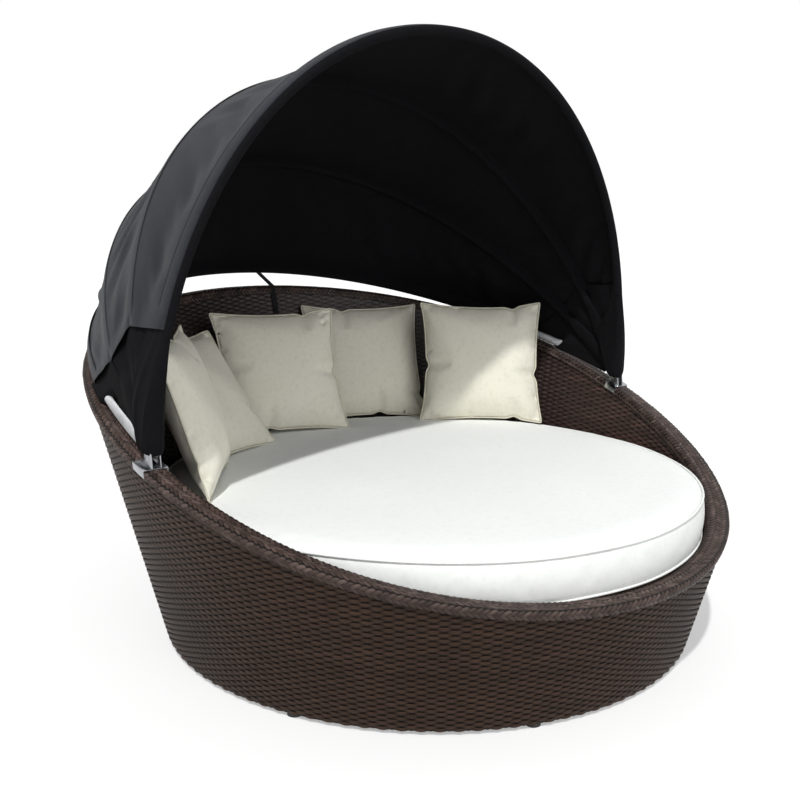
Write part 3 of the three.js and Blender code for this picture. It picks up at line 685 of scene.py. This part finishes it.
def piping(name, path, radius, material, slot):
    """A sewn-in cord: a closed curve with a round bevel, made a mesh."""
    curve = bpy.data.curves.new(name, "CURVE")
    curve.dimensions = "3D"
    curve.bevel_depth = radius
    curve.bevel_resolution = 2
    spline = curve.splines.new("POLY")
    spline.points.add(len(path) - 1)
    weighted = np.column_stack([path, np.ones(len(path))])
    spline.points.foreach_set("co", weighted.astype(np.float32).ravel())
    spline.use_cyclic_u = True
    piece = bpy.data.objects.new(name, curve)
    bpy.context.scene.collection.objects.link(piece)
    begin(piece)
    bpy.ops.object.convert(target="MESH")
    piece = bpy.context.object
    piece.data.materials.append(material)
    sides = len(piece.data.vertices) // len(path)
    order = np.arange(len(piece.data.vertices))
    step = np.linalg.norm(np.diff(path, axis=0), axis=1).mean()
    write_uv(piece, np.stack([order // sides * step, order % sides / sides * radius * 6], -1))
    smooth(piece)
    fit(piece, slot, "tub")


def finish_mattress(piece):
    mattress_uv(piece)
    settle(piece, "SUBSURF", levels=1, render_levels=1)
    smooth(piece)
    fit(piece, "mattress_cover", "tub", "mattress")
    wave = ripple(17, 6, 3, 19)
    turn = np.arange(cord_points) * 2 * math.pi / cord_points
    for name, level, reach in (("mattress_piping_top", seam_top, seam_top_radius),
                               ("mattress_piping_foot", seam_foot + 0.0006, seam_foot_radius)):
        path = around_axis(reach + cord_out, turn, mattress_foot + level + cord_sway * wave(turn))
        piping(name, path - [0, mattress_offset, 0], cord_radius, mattress_cloth, "mattress_cover")


pillow_side, pillow_thickness, pillow_edge = 0.465, 0.130, 0.0016
pillow_waist, pinch_depth, pinch_width, pillow_start = 0.018, 0.011, 0.08, 0.05
pillow_cells, pillow_blank_share = 42, 1.045
blank_dome, crumple_height, sewn_share = 0.012, 0.0006, 0.2
pillow_cord = 0.0032
pillow_full, pillow_sunk, pillow_lumps = 0.97, 0.12, 0.04
pillow_push, pillow_push_step, pillow_limits, pillow_spare = 5.5, 0.35, (0.006, 0.03), -0.03
mattress_push, mattress_limits, mattress_spare = 0.6, (0.005, 0.005), -0.006
pillow_places = (
    (2.119, 0.37, -16.1, 17.7), (1.255, 0.434, -18.2, 36.5), (0.237, 0.393, -23.9, 23.8),
    (-0.787, 0.137, -0.4, 23.9), (-1.832, 0.249, 18.8, 15.9),
)


def pillow_plan(u, v, seed):
    """Where the cloth of a filled pillow lies in plan, and how full it is there. The sides are drawn in
    between the corners, and each seam is pinched once."""
    made = np.random.default_rng(seed)
    inset = np.stack([1 - v ** 2, 1 - u ** 2], -1) * pillow_waist
    full = (np.clip(1 - u ** 2, 0, 1) * np.clip(1 - v ** 2, 0, 1)) ** 0.55
    for axis, across, along in ((0, u, v), (0, -u, v), (1, v, u), (1, -v, u)):
        off = (along - made.uniform(-0.6, 0.6)) / pinch_width
        near = np.exp(-off ** 2) * smoothstep(across, 0.5, 1)
        inset[:, axis] += pinch_depth * near
        full *= 1 - 0.5 * near
    return np.stack([u, v], -1) * (pillow_side / 2 - inset), full


def pillow_blank(name, seed):
    """Two square panels sewn together along their edges and filled, a little crumpled."""
    piece = add_grid(name, pillow_cells, pillow_cells, pillow_cloth)
    flat = places(piece) * 2 - 1
    dome = (1 - flat[:, 0] ** 2) * (1 - flat[:, 1] ** 2)
    crumple = np.random.default_rng(seed).normal(0, crumple_height, len(flat)) * (dome > 1e-9)
    half = pillow_side / 2 * pillow_blank_share
    place(piece, np.column_stack([flat[:, :2] * half, blank_dome * dome + crumple]))
    write_uv(piece, flat[:, :2] * half)
    begin(piece)
    bpy.ops.object.mode_set(mode="EDIT")
    bpy.ops.mesh.select_all(action="SELECT")
    bpy.ops.mesh.duplicate()
    bpy.ops.transform.resize(value=(1, 1, -1), center_override=(0, 0, 0))
    bpy.ops.mesh.flip_normals()
    bpy.ops.mesh.select_all(action="SELECT")
    bpy.ops.mesh.remove_doubles(threshold=weld)
    bpy.ops.object.mode_set(mode="OBJECT")
    flat = places(piece)
    edge = np.flatnonzero(np.abs(flat[:, :2]).max(1) > half - 1e-5)
    plan, full = pillow_plan(flat[:, 0] / half, flat[:, 1] / half, seed)
    deep = np.sign(flat[:, 2]) * pillow_start * full + flat[:, 2] * sewn_share
    place(piece, np.column_stack([plan, deep]))
    return piece, edge[np.argsort(np.arctan2(flat[edge, 1], flat[edge, 0]))]


def inflate(tasks):
    """Blows up each (piece, pressure, pinned, limits, shrink) as cloth, all in one run. The limits are how
    far a point may move in plan and in height, and a shrink below nought is spare cloth that crumples."""
    scene = bpy.context.scene
    scene.frame_start, scene.frame_end = 1, sim_frames
    starts = []
    for piece, pressure, pinned, _, shrink in tasks:
        starts.append(places(piece))
        cloth = piece.modifiers.new("cloth", "CLOTH")
        cloth.point_cache.frame_start, cloth.point_cache.frame_end = 1, sim_frames
        settings = cloth.settings
        for key, value in cloth_nature.items():
            setattr(settings, key, value)
        settings.uniform_pressure_force = pressure
        settings.effector_weights.gravity = 0
        cloth.collision_settings.use_collision = False
        if len(pinned):
            group = piece.vertex_groups.new(name="seam")
            group.add(pinned.tolist(), 1.0, "REPLACE")
            settings.vertex_group_mass = "seam"
        settings.shrink_min = shrink
    for step in range(1, sim_frames + 1):
        scene.frame_set(step)
    for (piece, _, _, limits, _), start in zip(tasks, starts):
        begin(piece)
        bpy.ops.object.modifier_apply(modifier="cloth")
        move = places(piece) - start
        for part, limit in zip((slice(0, 2), slice(2, 3)), limits):
            far = np.linalg.norm(move[:, part], axis=1, keepdims=True).clip(1e-9)
            move[:, part] *= limit * np.tanh(far / limit) / far
        place(piece, start + move)
        piece.vertex_groups.clear()
    scene.frame_set(1)


def to_size(piece, seed):
    """Brings a blown pillow to its size, and lets the filling sink and lump."""
    shape = places(piece)
    low, high = shape.min(0), shape.max(0)
    shape -= (low + high) / 2
    shape *= np.array([pillow_side, pillow_side, pillow_thickness]) / (high - low)
    up = shape[:, 1] / (pillow_side / 2)
    full = np.clip(np.abs(shape[:, 2]) / (pillow_thickness / 2), 0, 1)
    lumps = ripple(seed, 4, 3, 9)(shape[:, 0] * 4 + shape[:, 1] * 3)
    shape[:, 2] *= (pillow_full - pillow_sunk * up * (1 - np.abs(up))) * (1 + pillow_lumps * lumps * full)
    return shape


def pillow_frame(order, node):
    """The side, up and out directions of a pillow and its middle, from where its lower edge rests."""
    round_share, in_share, twist, lean = pillow_places[order]
    around = math.pi / 2 + round_share * pillow_side / mattress_radius
    away = mattress_radius - in_share * pillow_side
    turn, lean = around + math.pi + math.radians(twist), math.radians(lean)
    face = np.array([math.cos(turn), math.sin(turn), 0])
    side = np.array([-math.sin(turn), math.cos(turn), 0])
    up = np.array([0, 0, math.cos(lean)]) - face * math.sin(lean)
    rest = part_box(node)[0].z + pillow_edge * math.sin(lean)
    middle = np.array([away * math.cos(around), away * math.sin(around), rest]) + up * (pillow_side / 2)
    return side, up, np.cross(side, up), middle


def finish_pillow(order, piece, edge):
    node = f"pillow_{order + 1}"
    shape = to_size(piece, 41 + order)
    side, up, out, middle = pillow_frame(order, node)
    placed = middle + shape[:, :1] * side + shape[:, 1:2] * up + shape[:, 2:] * out
    place(piece, placed)
    loop = placed[edge]
    settle(piece, "SUBSURF", levels=1, render_levels=1)
    smooth(piece)
    fit(piece, "pillow_cover", "tub", node)
    closed = np.vstack([loop, loop[:1]])
    path = between(np.arange(3 * len(loop)) / 3, np.arange(len(closed)), closed)
    for _ in range(3):
        path = (np.roll(path, 1, 0) + 2 * path + np.roll(path, -1, 0)) / 4
    piping(f"{node}_piping", path, pillow_cord, piping_cloth, "pillow_cover")


def add_soft_pieces():
    mattress, pinned = mattress_blank()
    blanks = [pillow_blank(f"pillow_{k + 1}_cover", 31 + k) for k in range(5)]
    tasks = [(mattress, mattress_push, pinned, mattress_limits, mattress_spare)]
    for k, (piece, _) in enumerate(blanks):
        tasks.append((piece, pillow_push - pillow_push_step * k, (), pillow_limits, pillow_spare))
    inflate(tasks)
    finish_mattress(mattress)
    for order, (piece, edge) in enumerate(blanks):
        finish_pillow(order, piece, edge)


# Canopy bows, as the solids have them. A place on a bow is its reach from the hinge, or its turn over the
# crown.

pivot_height, stack_centre, stack_pitch = 0.675, 0.950499, 0.0058
bow_names = ("rear_bow", "rear_middle_bow", "front_middle_bow", "front_bow")
bow_bodies = ("tub", "rear_middle", "front_middle", "front")
crown_shares = (1.252, 1.2267, 1.1752, 1.1604)
bow_turns = (0.0, 23.0, 46.6, 76.6)
bow_power = 2.06
tube_radius, cloth_gap, solid_cloth = 0.0125, 0.0013, 0.0024
rear_rise = rim_back + 0.0457 + tube_radius + cloth_gap + solid_cloth - pivot_height
bow_crowns = [share * stack_centre for share in crown_shares]
bow_angles = [math.asin(rear_rise / bow_crowns[0]) + math.radians(turn) for turn in bow_turns]
bow_slots = [stack_centre + (1.5 - k) * stack_pitch for k in range(4)]
hub = np.array([0, 0, pivot_height])


def on_bow(k, turn, side=1):
    """Centre, outward and forward directions of bow k at a turn from its right foot."""
    e = 2 / bow_power
    angle = bow_angles[k]
    cos, sin = np.cos(turn), np.abs(np.sin(turn))
    cos_sign, cos = np.sign(cos) * side, np.abs(cos)
    reach = bow_crowns[k] * sin ** e
    slope = sin ** (2 - e) / bow_crowns[k]
    outward = [cos_sign * cos ** (2 - e) / bow_slots[k], slope * math.cos(angle), slope * math.sin(angle)]
    across = cos_sign * cos ** e * bow_slots[k]
    centre = np.stack([across, reach * math.cos(angle), pivot_height + reach * math.sin(angle)], -1)
    forward = np.broadcast_to([0, -math.sin(angle), math.cos(angle)], centre.shape)
    return centre, unit(np.stack(outward, -1)), forward


def turn_at(k, reach):
    return np.arcsin((np.asarray(reach) / bow_crowns[k]) ** (bow_power / 2))


def over_crown(k, low, u):
    """Turns along bow k from a reach on the right, over the crown, to the same reach on the left."""
    start = turn_at(k, low)
    return start + (math.pi - 2 * start) * u


# Canopy cloth

hems = (0.385, 0.30, 0.325, 0.30)
hem_overlap, canopy_length = 0.03, 2.9
cloth_base = tube_radius + cloth_gap
cloth_outer, cloth_thick = 0.0018, 0.0012
sleeve_thick, tape_thick, lining_thick = 0.0007, 0.0006, 0.001
hem_flare, hem_reach, hem_taut = 0.009, 0.07, 0.14
bay_names = ("rear", "middle", "front")
bay_rows, bay_lean, bay_sag = 9.3, (-0.9, 0.8), 0.03
fold_height, fold_low, fold_fade, fold_broad = 0.0036, 0.006, 0.4, 0.003
fan_feet = ((0.05, 0.04), (0.04, 0.035), (0.035, 0.03))
fan_pleats, pleat_height = (1, 2, 2), 0.007
fan_drop, fan_tuck, fan_clear, fan_inside = 0.021, 0.011, 0.001, 0.004
rear_fan_turn, rear_fan_cross, rear_fan_lift = (0.044, 0.09), (0.62, 0.7), 0.0025
flat_reach, round_reach = 0.235, 0.305
blade_half, flat_half = 0.002, 0.0185
side_words = {-1: "left", 1: "right"}


def laid_cloth(name, columns, rows, shape, *materials, shade_from=None):
    """A grid laid on a surface that a function gives, with the cut cloth's metres as UV. Past a share of its
    width it can turn to the next material, which on an end sleeve is painted shade."""
    piece = add_grid(name, columns, rows, *materials)
    flat = places(piece)
    if shade_from is not None:
        shaded_faces = read(piece.data.polygons, "center", 3)[:, 1] > shade_from
        piece.data.polygons.foreach_set("material_index", shaded_faces.astype(np.int32))
    place(piece, shape(flat[:, 0], flat[:, 1]))
    width, length, _ = cut_size(shape)
    write_uv(piece, flat[:, :2] * [length, width])
    return piece


def cut_size(shape):
    """Width, length and area of the flat cloth behind a surface."""
    u, s = np.meshgrid(np.linspace(0, 1, 121), np.linspace(0, 1, 25), indexing="ij")
    points = shape(u.ravel(), s.ravel()).reshape(121, 25, 3)
    length = np.linalg.norm(np.diff(points, axis=0), axis=2).sum(0).max()
    width = np.linalg.norm(np.diff(points, axis=1), axis=2).sum(1).max()
    cells = np.cross(points[1:, :-1] - points[:-1, :-1], points[:-1, 1:] - points[:-1, :-1])
    return float(width), float(length), float(np.linalg.norm(cells, axis=2).sum())


def declare(shape):
    width, length, area = cut_size(shape)


def spanned(low, low_out, high, high_out, s, rise):
    """Points at shares of the way from one edge to the other, raised off the line between them."""
    share = s[:, None]
    out = unit(low_out * (1 - share) + high_out * share)
    return low * (1 - share) + high * share + out * rise[:, None]


def bay_surface(order):
    """The canopy between two bows: a shallow sag, slack folds low on the sides, and a hem that stands off."""
    folds, slow = ripple(60 + order, 6, 5, 16), ripple(70 + order, 4, 2, 6)

    def shape(u, s):
        edges = []
        for k in (order, order + 1):
            centre, out, _ = on_bow(k, over_crown(k, hems[k], u))
            edges += [centre + out * (cloth_base + cloth_outer), out]
        width = np.linalg.norm(edges[2] - edges[0], axis=1)
        run = np.minimum(u, 1 - u) * canopy_length
        way = u * bay_rows + s * bay_lean[order % 2] + 0.06 * slow(u * 5.8 + s * 3)
        slack = (fold_height + fold_low * np.exp(-run / fold_fade)) * folds(way)
        slack = (slack + fold_broad * slow(u * 4 + s * 2)) * np.sin(math.pi * s) ** 2.2
        slack = slack * (0.2 + 0.8 * smoothstep(run, 0, hem_taut))
        flare = hem_flare * smoothstep(hem_reach - run, 0, hem_reach) * np.sin(math.pi * s) ** 0.5
        return spanned(*edges, s, slack + flare - bay_sag * width * np.sin(math.pi * s) ** 2)
    return shape


def leg_section(reach):
    """Half the depth and half the width of a bow, which is flattened towards its foot."""
    share = smoothstep(reach, flat_reach, round_reach)
    return blade_half + (tube_radius - blade_half) * share, flat_half + (tube_radius - flat_half) * share


def fan_surface(order, side):
    """The cloth between two legs, from under the hem down to the hinge, gathered in soft pleats; its
    near-black colour is a dark lining and painted shade. It passes inside the bare lower part of the rear leg
    and outside the other legs."""
    def edge(k, foot, u):
        reach = foot + (hems[k] + hem_overlap - foot) * u
        centre, out, forward = on_bow(k, turn_at(k, reach), side)
        return centre - forward * (0 if k else fan_drop), out, leg_section(reach)[0]

    def shape(u, s):
        low, low_out, low_deep = edge(order, fan_feet[order][0], u)
        high, high_out, high_deep = edge(order + 1, fan_feet[order][1], u)
        deep = low_deep * (1 - s) + high_deep * s
        outside = 1.0
        if order == 0:
            outside = smoothstep(s * np.linalg.norm(high - low, axis=1), *rear_fan_turn)
            outside = np.maximum(outside, smoothstep(u, *rear_fan_cross))
            deep = deep + rear_fan_lift * smoothstep(u, 0.6, 0.68)
        rise = (deep + fan_clear) * outside - (deep + fan_inside) * (1 - outside)
        pleat = 0.5 - 0.5 * np.cos(2 * math.pi * fan_pleats[order] * s)
        rise = rise + pleat * pleat_height * (1 - u) ** 0.8
        rise = rise - fan_tuck * np.sin(math.pi * s) ** 2 * smoothstep(u, 0.5, 1)
        return spanned(low, low_out, high, high_out, s, rise)
    return shape


def swept(part, k, rows, knots, *materials, shade_from=None):
    """Cloth carried along bow k over its crown. Its section runs evenly along knots, in metres forward and
    outward of the bow."""
    run = run_along(knots)

    def shape(u, s):
        centre, out, forward = on_bow(k, over_crown(k, hems[k], u))
        section = between(s * run[-1], run, knots)
        return centre + forward * section[:, :1] + out * section[:, 1:]
    return laid_cloth(f"{bow_names[k]}_{part}", 150, rows, shape, *materials, shade_from=shade_from)


def arc(radius, start, end):
    turns = np.radians(np.linspace(start, end, 14))
    return [(radius * math.cos(turn), radius * math.sin(turn)) for turn in turns]


seam_over, seam_under, sleeve_radius = cloth_base + cloth_outer + 0.0007, cloth_base, 0.0146
edge_stitch, pocket_stitch, pocket_drop = 0.038, 0.026, 0.005
tape_half, tape_flat, tape_rise = 0.012, 0.006, 0.0006
sock_foot, sock_slack_from, sock_crease = 0.03, 0.12, 0.05
sock_clear_wide, sock_clear_deep, sock_loose_wide, sock_loose_deep = 0.0012, 0.0006, 0.009, 0.0085
strap_wide, strap_thick, strap_drop, strap_gap = 0.020, 0.0015, 0.204, 0.0003
strap_off, strap_half_end, strap_cup = 0.0009, 0.014, 0.0006


def edge_sleeve(k, way):
    """The cloth of an end bay turned round its bow and sewn back on itself."""
    knots = [(-edge_stitch, seam_over - 0.003), (-0.028, seam_over - 0.0011), (-0.01, seam_over)]
    knots += arc(sleeve_radius + 0.001, 90, -131) + [(-edge_stitch, seam_under)]
    # Past a third of its section, where the sleeve turns under the bow, it takes the near-black cloth as
    # painted shade.
    cloths = (canopy_cloth, canopy_lining_and_shade, canopy_lining_and_shade)
    return swept("sleeve", k, 20, [(way * f, o) for f, o in knots], *cloths, shade_from=0.34)


def inner_pocket(k):
    """A strip sewn under the canopy on both sides of a bow."""
    edge = seam_under - pocket_drop
    knots = [(pocket_stitch, edge)] + arc(sleeve_radius, -32, -148) + [(-pocket_stitch, edge)]
    return swept("pocket", k, 14, knots, canopy_lining_and_shade, canopy_lining_and_shade)


def seam_tape(k):
    """A narrow tape sewn over the seam on the outside of the canopy."""
    top = seam_over + tape_rise
    knots = [(-tape_half, seam_over), (-tape_flat, top), (tape_flat, top), (tape_half, seam_over)]
    return swept("tape", k, 3, knots, canopy_cloth, canopy_cloth)


def leg_sock(k, side):
    """The soft sleeve round the flattened leg of a bow, from under the hem to the hinge."""
    creases = ripple(80 + k, 5, 4, 15)

    def shape(u, s):
        reach = sock_foot + (hems[k] + hem_overlap - sock_foot) * u
        centre, out, forward = on_bow(k, turn_at(k, reach), side)
        deep, wide = leg_section(reach)
        slack = 1 - smoothstep(reach, sock_slack_from, round_reach)
        end = 0.75 + 0.25 * np.sqrt(1 - (1 - np.clip(u / 0.09, 0, 1)) ** 2)
        wave = end * (1 + sock_crease * slack * creases(u * 4 + 2 * np.sin(2 * math.pi * s)))
        wide = (wide + sock_clear_wide + sock_loose_wide * slack) * wave
        deep = (deep + sock_clear_deep + sock_loose_deep * slack) * wave
        turn = 2 * math.pi * s * side
        return centre + forward * (wide * np.cos(turn))[:, None] + out * (deep * np.sin(turn))[:, None]

    name = f"{bow_names[k]}_sock_{side_words[side]}"
    piece = laid_cloth(name, 30, 20, shape, canopy_lining_and_shade, canopy_lining_and_shade)
    merge(piece, weld)
    thicken(piece, sleeve_thick, hub + np.array([side * 0.95, 0, 0]))
    return piece


# Each of the two rows gives reaches up the leg and how far the drape stands forward or back of it there.

drape_foot, drape_outer, drape_inner, drape_slim, drape_bend = -0.014, 0.0345, 0.0205, 0.0125, 0.4
drape_front = ((-0.014, 0.0, 0.02, 0.06, 0.2, 0.3), (0.022, 0.0255, 0.0255, 0.0235, 0.021, 0.0172))
drape_back = ((-0.014, -0.008, 0.01, 0.024, 0.035, 0.063, 0.1, 0.2, 0.33),
              (0.01, 0.018, 0.029, 0.036, 0.041, 0.052, 0.066, 0.084, 0.07))


def drape_surface(side):
    """The loose end of the cloth, hung round the front leg from under the hem to below the bolt. Its foot is
    round, and it is open behind, where the other legs come out."""
    folds = ripple(93 + side, 5, 3, 9)

    def shape(u, s):
        reach = drape_foot + (hems[3] + hem_overlap - drape_foot) * u
        centre, out, forward = on_bow(3, turn_at(3, reach.clip(0.001)), side)
        centre[:, 2] += (reach - 0.001).clip(None, 0)
        t = 2 * s - 1
        turn = np.clip(t / drape_bend, -1, 1) * math.pi / 2
        run = np.clip((np.abs(t) - drape_bend) / (1 - drape_bend), 0, 1)
        half = np.where(t > 0, drape_outer, drape_inner)
        half = half + (drape_slim - half) * smoothstep(reach, np.where(t > 0, 0.08, 0.03), hems[3])
        half *= 0.72 + 0.28 * smoothstep(reach, drape_foot, -0.002)
        front, back = np.interp(reach, *drape_front), np.interp(reach, *drape_back)
        back = np.where(t > 0, back, back * (1 - 0.75 * smoothstep(reach, 0.12, hems[3])))
        depth = np.minimum(0.02, (front + back) / 2)
        along = front - depth * (1 - np.cos(turn)) - run * (front + back - depth)
        across = np.sin(turn) * half * (1 + 0.06 * folds(t * 4 + 2.2 * u))
        return centre + forward * along[:, None] + out * across[:, None]
    return shape


def hinge_drape(side):
    shape = drape_surface(side)
    piece = laid_cloth(f"hinge_drape_{side_words[side]}", 40, 44, shape, canopy_lining_and_shade, canopy_lining_and_shade)
    thicken(piece, lining_thick, hub + np.array([side * 0.94, 0.02, 0.12]))
    fit(piece, "canopy_cloth", "front")
    declare(shape)


def strap_line():
    """The strap's path from the rear hem over the band and down the inside of the wall to its button."""
    points = places(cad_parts["rear_strap"])
    top = points[points[:, 2] > points[:, 2].max() - 0.003].mean(0)
    angle = math.atan2(top[1], top[0])
    rim = rim_height(angle)
    inside = wall_depth + band_proud + strap_gap + strap_thick
    anchor = rim - strap_drop
    depth = np.array([inside - band_round, inside, inside, wall_depth + strap_off, wall_depth + strap_off])
    height = np.array([rim + 0.004, rim - band_round / 2, rim - band_skirt,
                       anchor + strap_half_end, anchor - strap_half_end])
    across = np.array([-math.sin(angle), math.cos(angle), 0])
    return np.vstack([top, around_axis(wall_radius(height) - depth, angle, height)]), across


def rear_strap():
    """Flat webbing, a little cupped across its width."""
    path, across = strap_line()
    run = run_along(path)
    inward = np.cross(across, unit(path[-1] - path[1]))
    inward *= -np.sign(inward @ path[0])

    def shape(u, s):
        cup = strap_cup * (1 - (2 * s - 1) ** 2)
        aside = across * ((s - 0.5) * strap_wide)[:, None]
        return between(u * run[-1], run, path) + aside + inward * cup[:, None]

    piece = laid_cloth("rear_strap_webbing", 60, 6, shape, webbing, webbing)
    thicken(piece, strap_thick, path.mean(0) - inward)
    fit(piece, "canopy_cloth", "tub", "rear_strap")
    declare(shape)


stitch_pitch, stitch_length, stitch_width, bead_weld = 0.0085, 0.0032, 0.0006, 1e-7
stitch_rows = (((0.034, 0.030), -0.0015), ((-0.009, 0.009), 0.0008), ((-0.009, 0.009), 0.0008),
               ((-0.034, -0.030), -0.0015))


def stitches(k):
    """Two rows of small stitches along bow k, each a flattened bead."""
    (first, second), lift = stitch_rows[k]
    count = int(canopy_length / stitch_pitch)
    bpy.ops.object.select_all(action="DESELECT")
    bpy.ops.mesh.primitive_uv_sphere_add(segments=6, ring_count=4, radius=1)
    piece = take(f"{bow_names[k]}_stitches", thread)
    place(piece, places(piece) * [stitch_length / 2 / canopy_length, stitch_width, stitch_width])
    merge(piece, bead_weld)
    repeat(piece, 2, (0, second - first, 0))
    repeat(piece, count - 2, (1 / count, 0, 0))
    flat = places(piece)
    centre, out, forward = on_bow(k, over_crown(k, hems[k], flat[:, 0] + 1 / count))
    place(piece, centre + forward * (flat[:, 1:2] + first) + out * (flat[:, 2:] + seam_over + lift))
    smooth(piece)
    return piece


def thicken(piece, thickness, away):
    """Turns the cloth to face away from a place, and gives it its thickness inwards."""
    normal, centre = (read(piece.data.polygons, key, 3) for key in ("normal", "center"))
    if (normal * (centre - away)).sum() < 0:
        edit(piece, everything(piece), ("select_all", {"action": "SELECT"}), ("flip_normals", {}))
    # The inner face takes the next material; on the canopy's bays that is the near-black cloth, as painted
    # shade on their underside.
    settle(piece, "SOLIDIFY", thickness=thickness, offset=-1, material_offset=1, material_offset_rim=0)
    smooth(piece, 50)


def crossing(piece):
    """Bakes a bay's cloth's transform into its mesh."""
    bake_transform(piece)


def bow_middle(k):
    """A place inside the loop of bow k, to tell its inside from its outside."""
    return hub + np.array([0, math.cos(bow_angles[k]), math.sin(bow_angles[k])]) * bow_crowns[k] * 0.5


def dress_bow(k):
    """What is sewn to the canopy along bow k: a sleeve at an end, a pocket, tape and two socks between."""
    if k in (0, 3):
        dressed = [edge_sleeve(k, 1 if k else -1)]
        thicken(dressed[0], sleeve_thick, bow_middle(k))
    else:
        dressed = [inner_pocket(k), seam_tape(k)]
        thicken(dressed[0], sleeve_thick, hub + 3 * (bow_middle(k) - hub))
        thicken(dressed[1], tape_thick, hub)
    dressed.append(stitches(k))
    if k in (1, 2):
        dressed += [leg_sock(k, side) for side in (-1, 1)]
    for piece in dressed:
        fit(piece, "canopy_cloth", bow_bodies[k])
    return dressed


def add_bay_cloth(name, order, grid, shape, outside, thickness):
    """One sheet between two bows, in place of the bay's solid."""
    piece = laid_cloth(name, *grid, shape, outside, canopy_lining_and_shade)
    thicken(piece, thickness, hub)
    declare(shape)
    crossing(piece)
    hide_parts(f"canopy_{bay_names[order]}_bay")


def add_canopy():
    extras = [[], [], []]
    for k in range(4):
        extras[max(k - 1, 0)] += dress_bow(k)
    for order, bay in enumerate(bay_names):
        name = f"canopy_{bay}"
        add_bay_cloth(name, order, (176, 24), bay_surface(order), canopy_cloth, cloth_thick)
        # The fans hang in shade and take the near-black cloth on both faces: a dark lining and painted shade.
        for side, word in side_words.items():
            add_bay_cloth(f"{name}_fan_{word}", order, (24, 20), fan_surface(order, side), canopy_lining_and_shade,
                          lining_thick)
    for side in side_words:
        hinge_drape(side)
    rear_strap()


# Hardware: the solids' own shapes, with their edges rounded as on the real parts


def from_node(node, name, material):
    """A copy of a solid's mesh with its loose triangles joined."""
    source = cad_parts[node]
    piece = source.copy()
    piece.data = source.data.copy()
    bpy.context.scene.collection.objects.link(piece)
    piece.parent = None
    begin(piece)
    take(name, material)
    piece.data.polygons.foreach_set("material_index", np.zeros(len(piece.data.polygons), np.int32))
    merge(piece, weld)
    return piece


def rounded(node, name, width):
    """A hinge part with a small round on its sharp edges."""
    piece = from_node(node, name, bracket_metal)
    edit(piece, everything(piece), ("dissolve_limited", {"angle_limit": math.radians(2)}))
    settle(piece, "BEVEL", width=width, segments=2, limit_method="ANGLE", angle_limit=math.radians(35))
    settle(piece, "TRIANGULATE")
    smooth(piece, 40)
    fit(piece, "bracket_steel", "tub", node)


def rounded_bow(k):
    """A bow whose facets are drawn out to a round tube."""
    piece = from_node(bow_names[k], f"{bow_names[k]}_tube", bow_metal)
    edit(piece, everything(piece), ("tris_convert_to_quads", {}))
    settle(piece, "SUBSURF", levels=1, render_levels=1)
    smooth(piece)
    fit(piece, "bow_tube", bow_bodies[k], bow_names[k])


hinge_parts = (
    ("hinge_bracket", "hinge_saddle", 0.0008),
    ("pivot_bolt", "hinge_bolt", 0.0005),
    ("pivot_nut", "hinge_nut", 0.0006),
)


def add_hardware():
    for side in ("left", "right"):
        for node, name, width in hinge_parts:
            rounded(f"{node}_{side}", f"{name}_{side}", width)
    for k in range(4):
        rounded_bow(k)


node_looks = (
    (("upright", "floor_ring", "seat_ring", "rim_rail", "bearer", "centre_leg"), frame_coat),
    (("spacer",), bracket_metal),
    (("glide", "strap_button"), nylon),
    (("seat_deck",), deck_wood),
    # The band shows only between the plait's strands, in the painted-shade resin.
    (("rim_band",), gap_resin_shaded),
)


def dress_nodes():
    """The CAD nodes that stay take their real finish."""
    for name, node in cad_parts.items():
        for starts, material in node_looks:
            if name.startswith(starts):
                for slot in range(len(node.data.materials)):
                    node.data.materials[slot] = material


# Studio: a pale floor that keeps the shadow, a white surround, a key lamp and a wide, weak lamp that fills

floor_half = 30
floor_glow, world_glow = 0.37, 0.52


def seen(tree):
    """1 where the floor or the surround is seen, straight or in a glossy or clear piece, and 0 where it only
    lights."""
    path = add(tree, "LightPath", {})
    way = path["Is Camera Ray"]
    for other in ("Is Glossy Ray", "Is Transmission Ray"):
        way = add(tree, "Math", {0: way, 1: path[other]}, operation="MAXIMUM")["Value"]
    return way


def add_floor():
    bpy.ops.object.select_all(action="DESELECT")
    bpy.ops.mesh.primitive_plane_add(size=2 * floor_half)
    material, tree, _ = new_material("studio_floor", "cccbca", 0.9)
    glow = add(tree, "Math", {0: seen(tree), 1: floor_glow}, operation="MULTIPLY")["Value"]
    lit = add(tree, "Emission", {"Color": (1, 1, 1, 1), "Strength": glow})["Emission"]
    both = add(tree, "AddShader", {0: tree.nodes["Principled BSDF"].outputs["BSDF"], 1: lit})["Shader"]
    tree.links.new(both, tree.nodes["Material Output"].inputs["Surface"])
    take("floor", material)


def add_world():
    world = bpy.data.worlds.new("world")
    world.use_nodes = True
    tree = world.node_tree
    lit = add(tree, "Background", {"Color": (0.94, 0.97, 1.0, 1.0), "Strength": world_glow})["Background"]
    white = add(tree, "Background", {"Color": (1, 1, 1, 1), "Strength": 1.0})["Background"]
    both = add(tree, "MixShader", {"Fac": seen(tree), 1: lit, 2: white})["Shader"]
    tree.links.new(both, tree.nodes["World Output"].inputs["Surface"])
    bpy.context.scene.world = world


def add_lamp(name, azimuth, elevation, strength, softness):
    """A far lamp: its azimuth goes from +X towards +Y, and its softness is how wide it looks, in degrees."""
    data = bpy.data.lights.new(name, "SUN")
    data.energy = strength
    data.angle = math.radians(softness)
    lamp = bpy.data.objects.new(name, data)
    lamp.rotation_euler = (math.radians(90 - elevation), 0, math.radians(azimuth + 90))
    bpy.context.scene.collection.objects.link(lamp)


add_camera()
add_floor()
add_world()
add_lamp("key", 220, 58, 2.35, 2)
add_lamp("fill", 262, 20, 0.55, 50)
add_walls()
add_plait()
add_soft_pieces()
add_canopy()
add_hardware()
dress_nodes()
bpy.context.scene.view_settings.view_transform = "Standard"
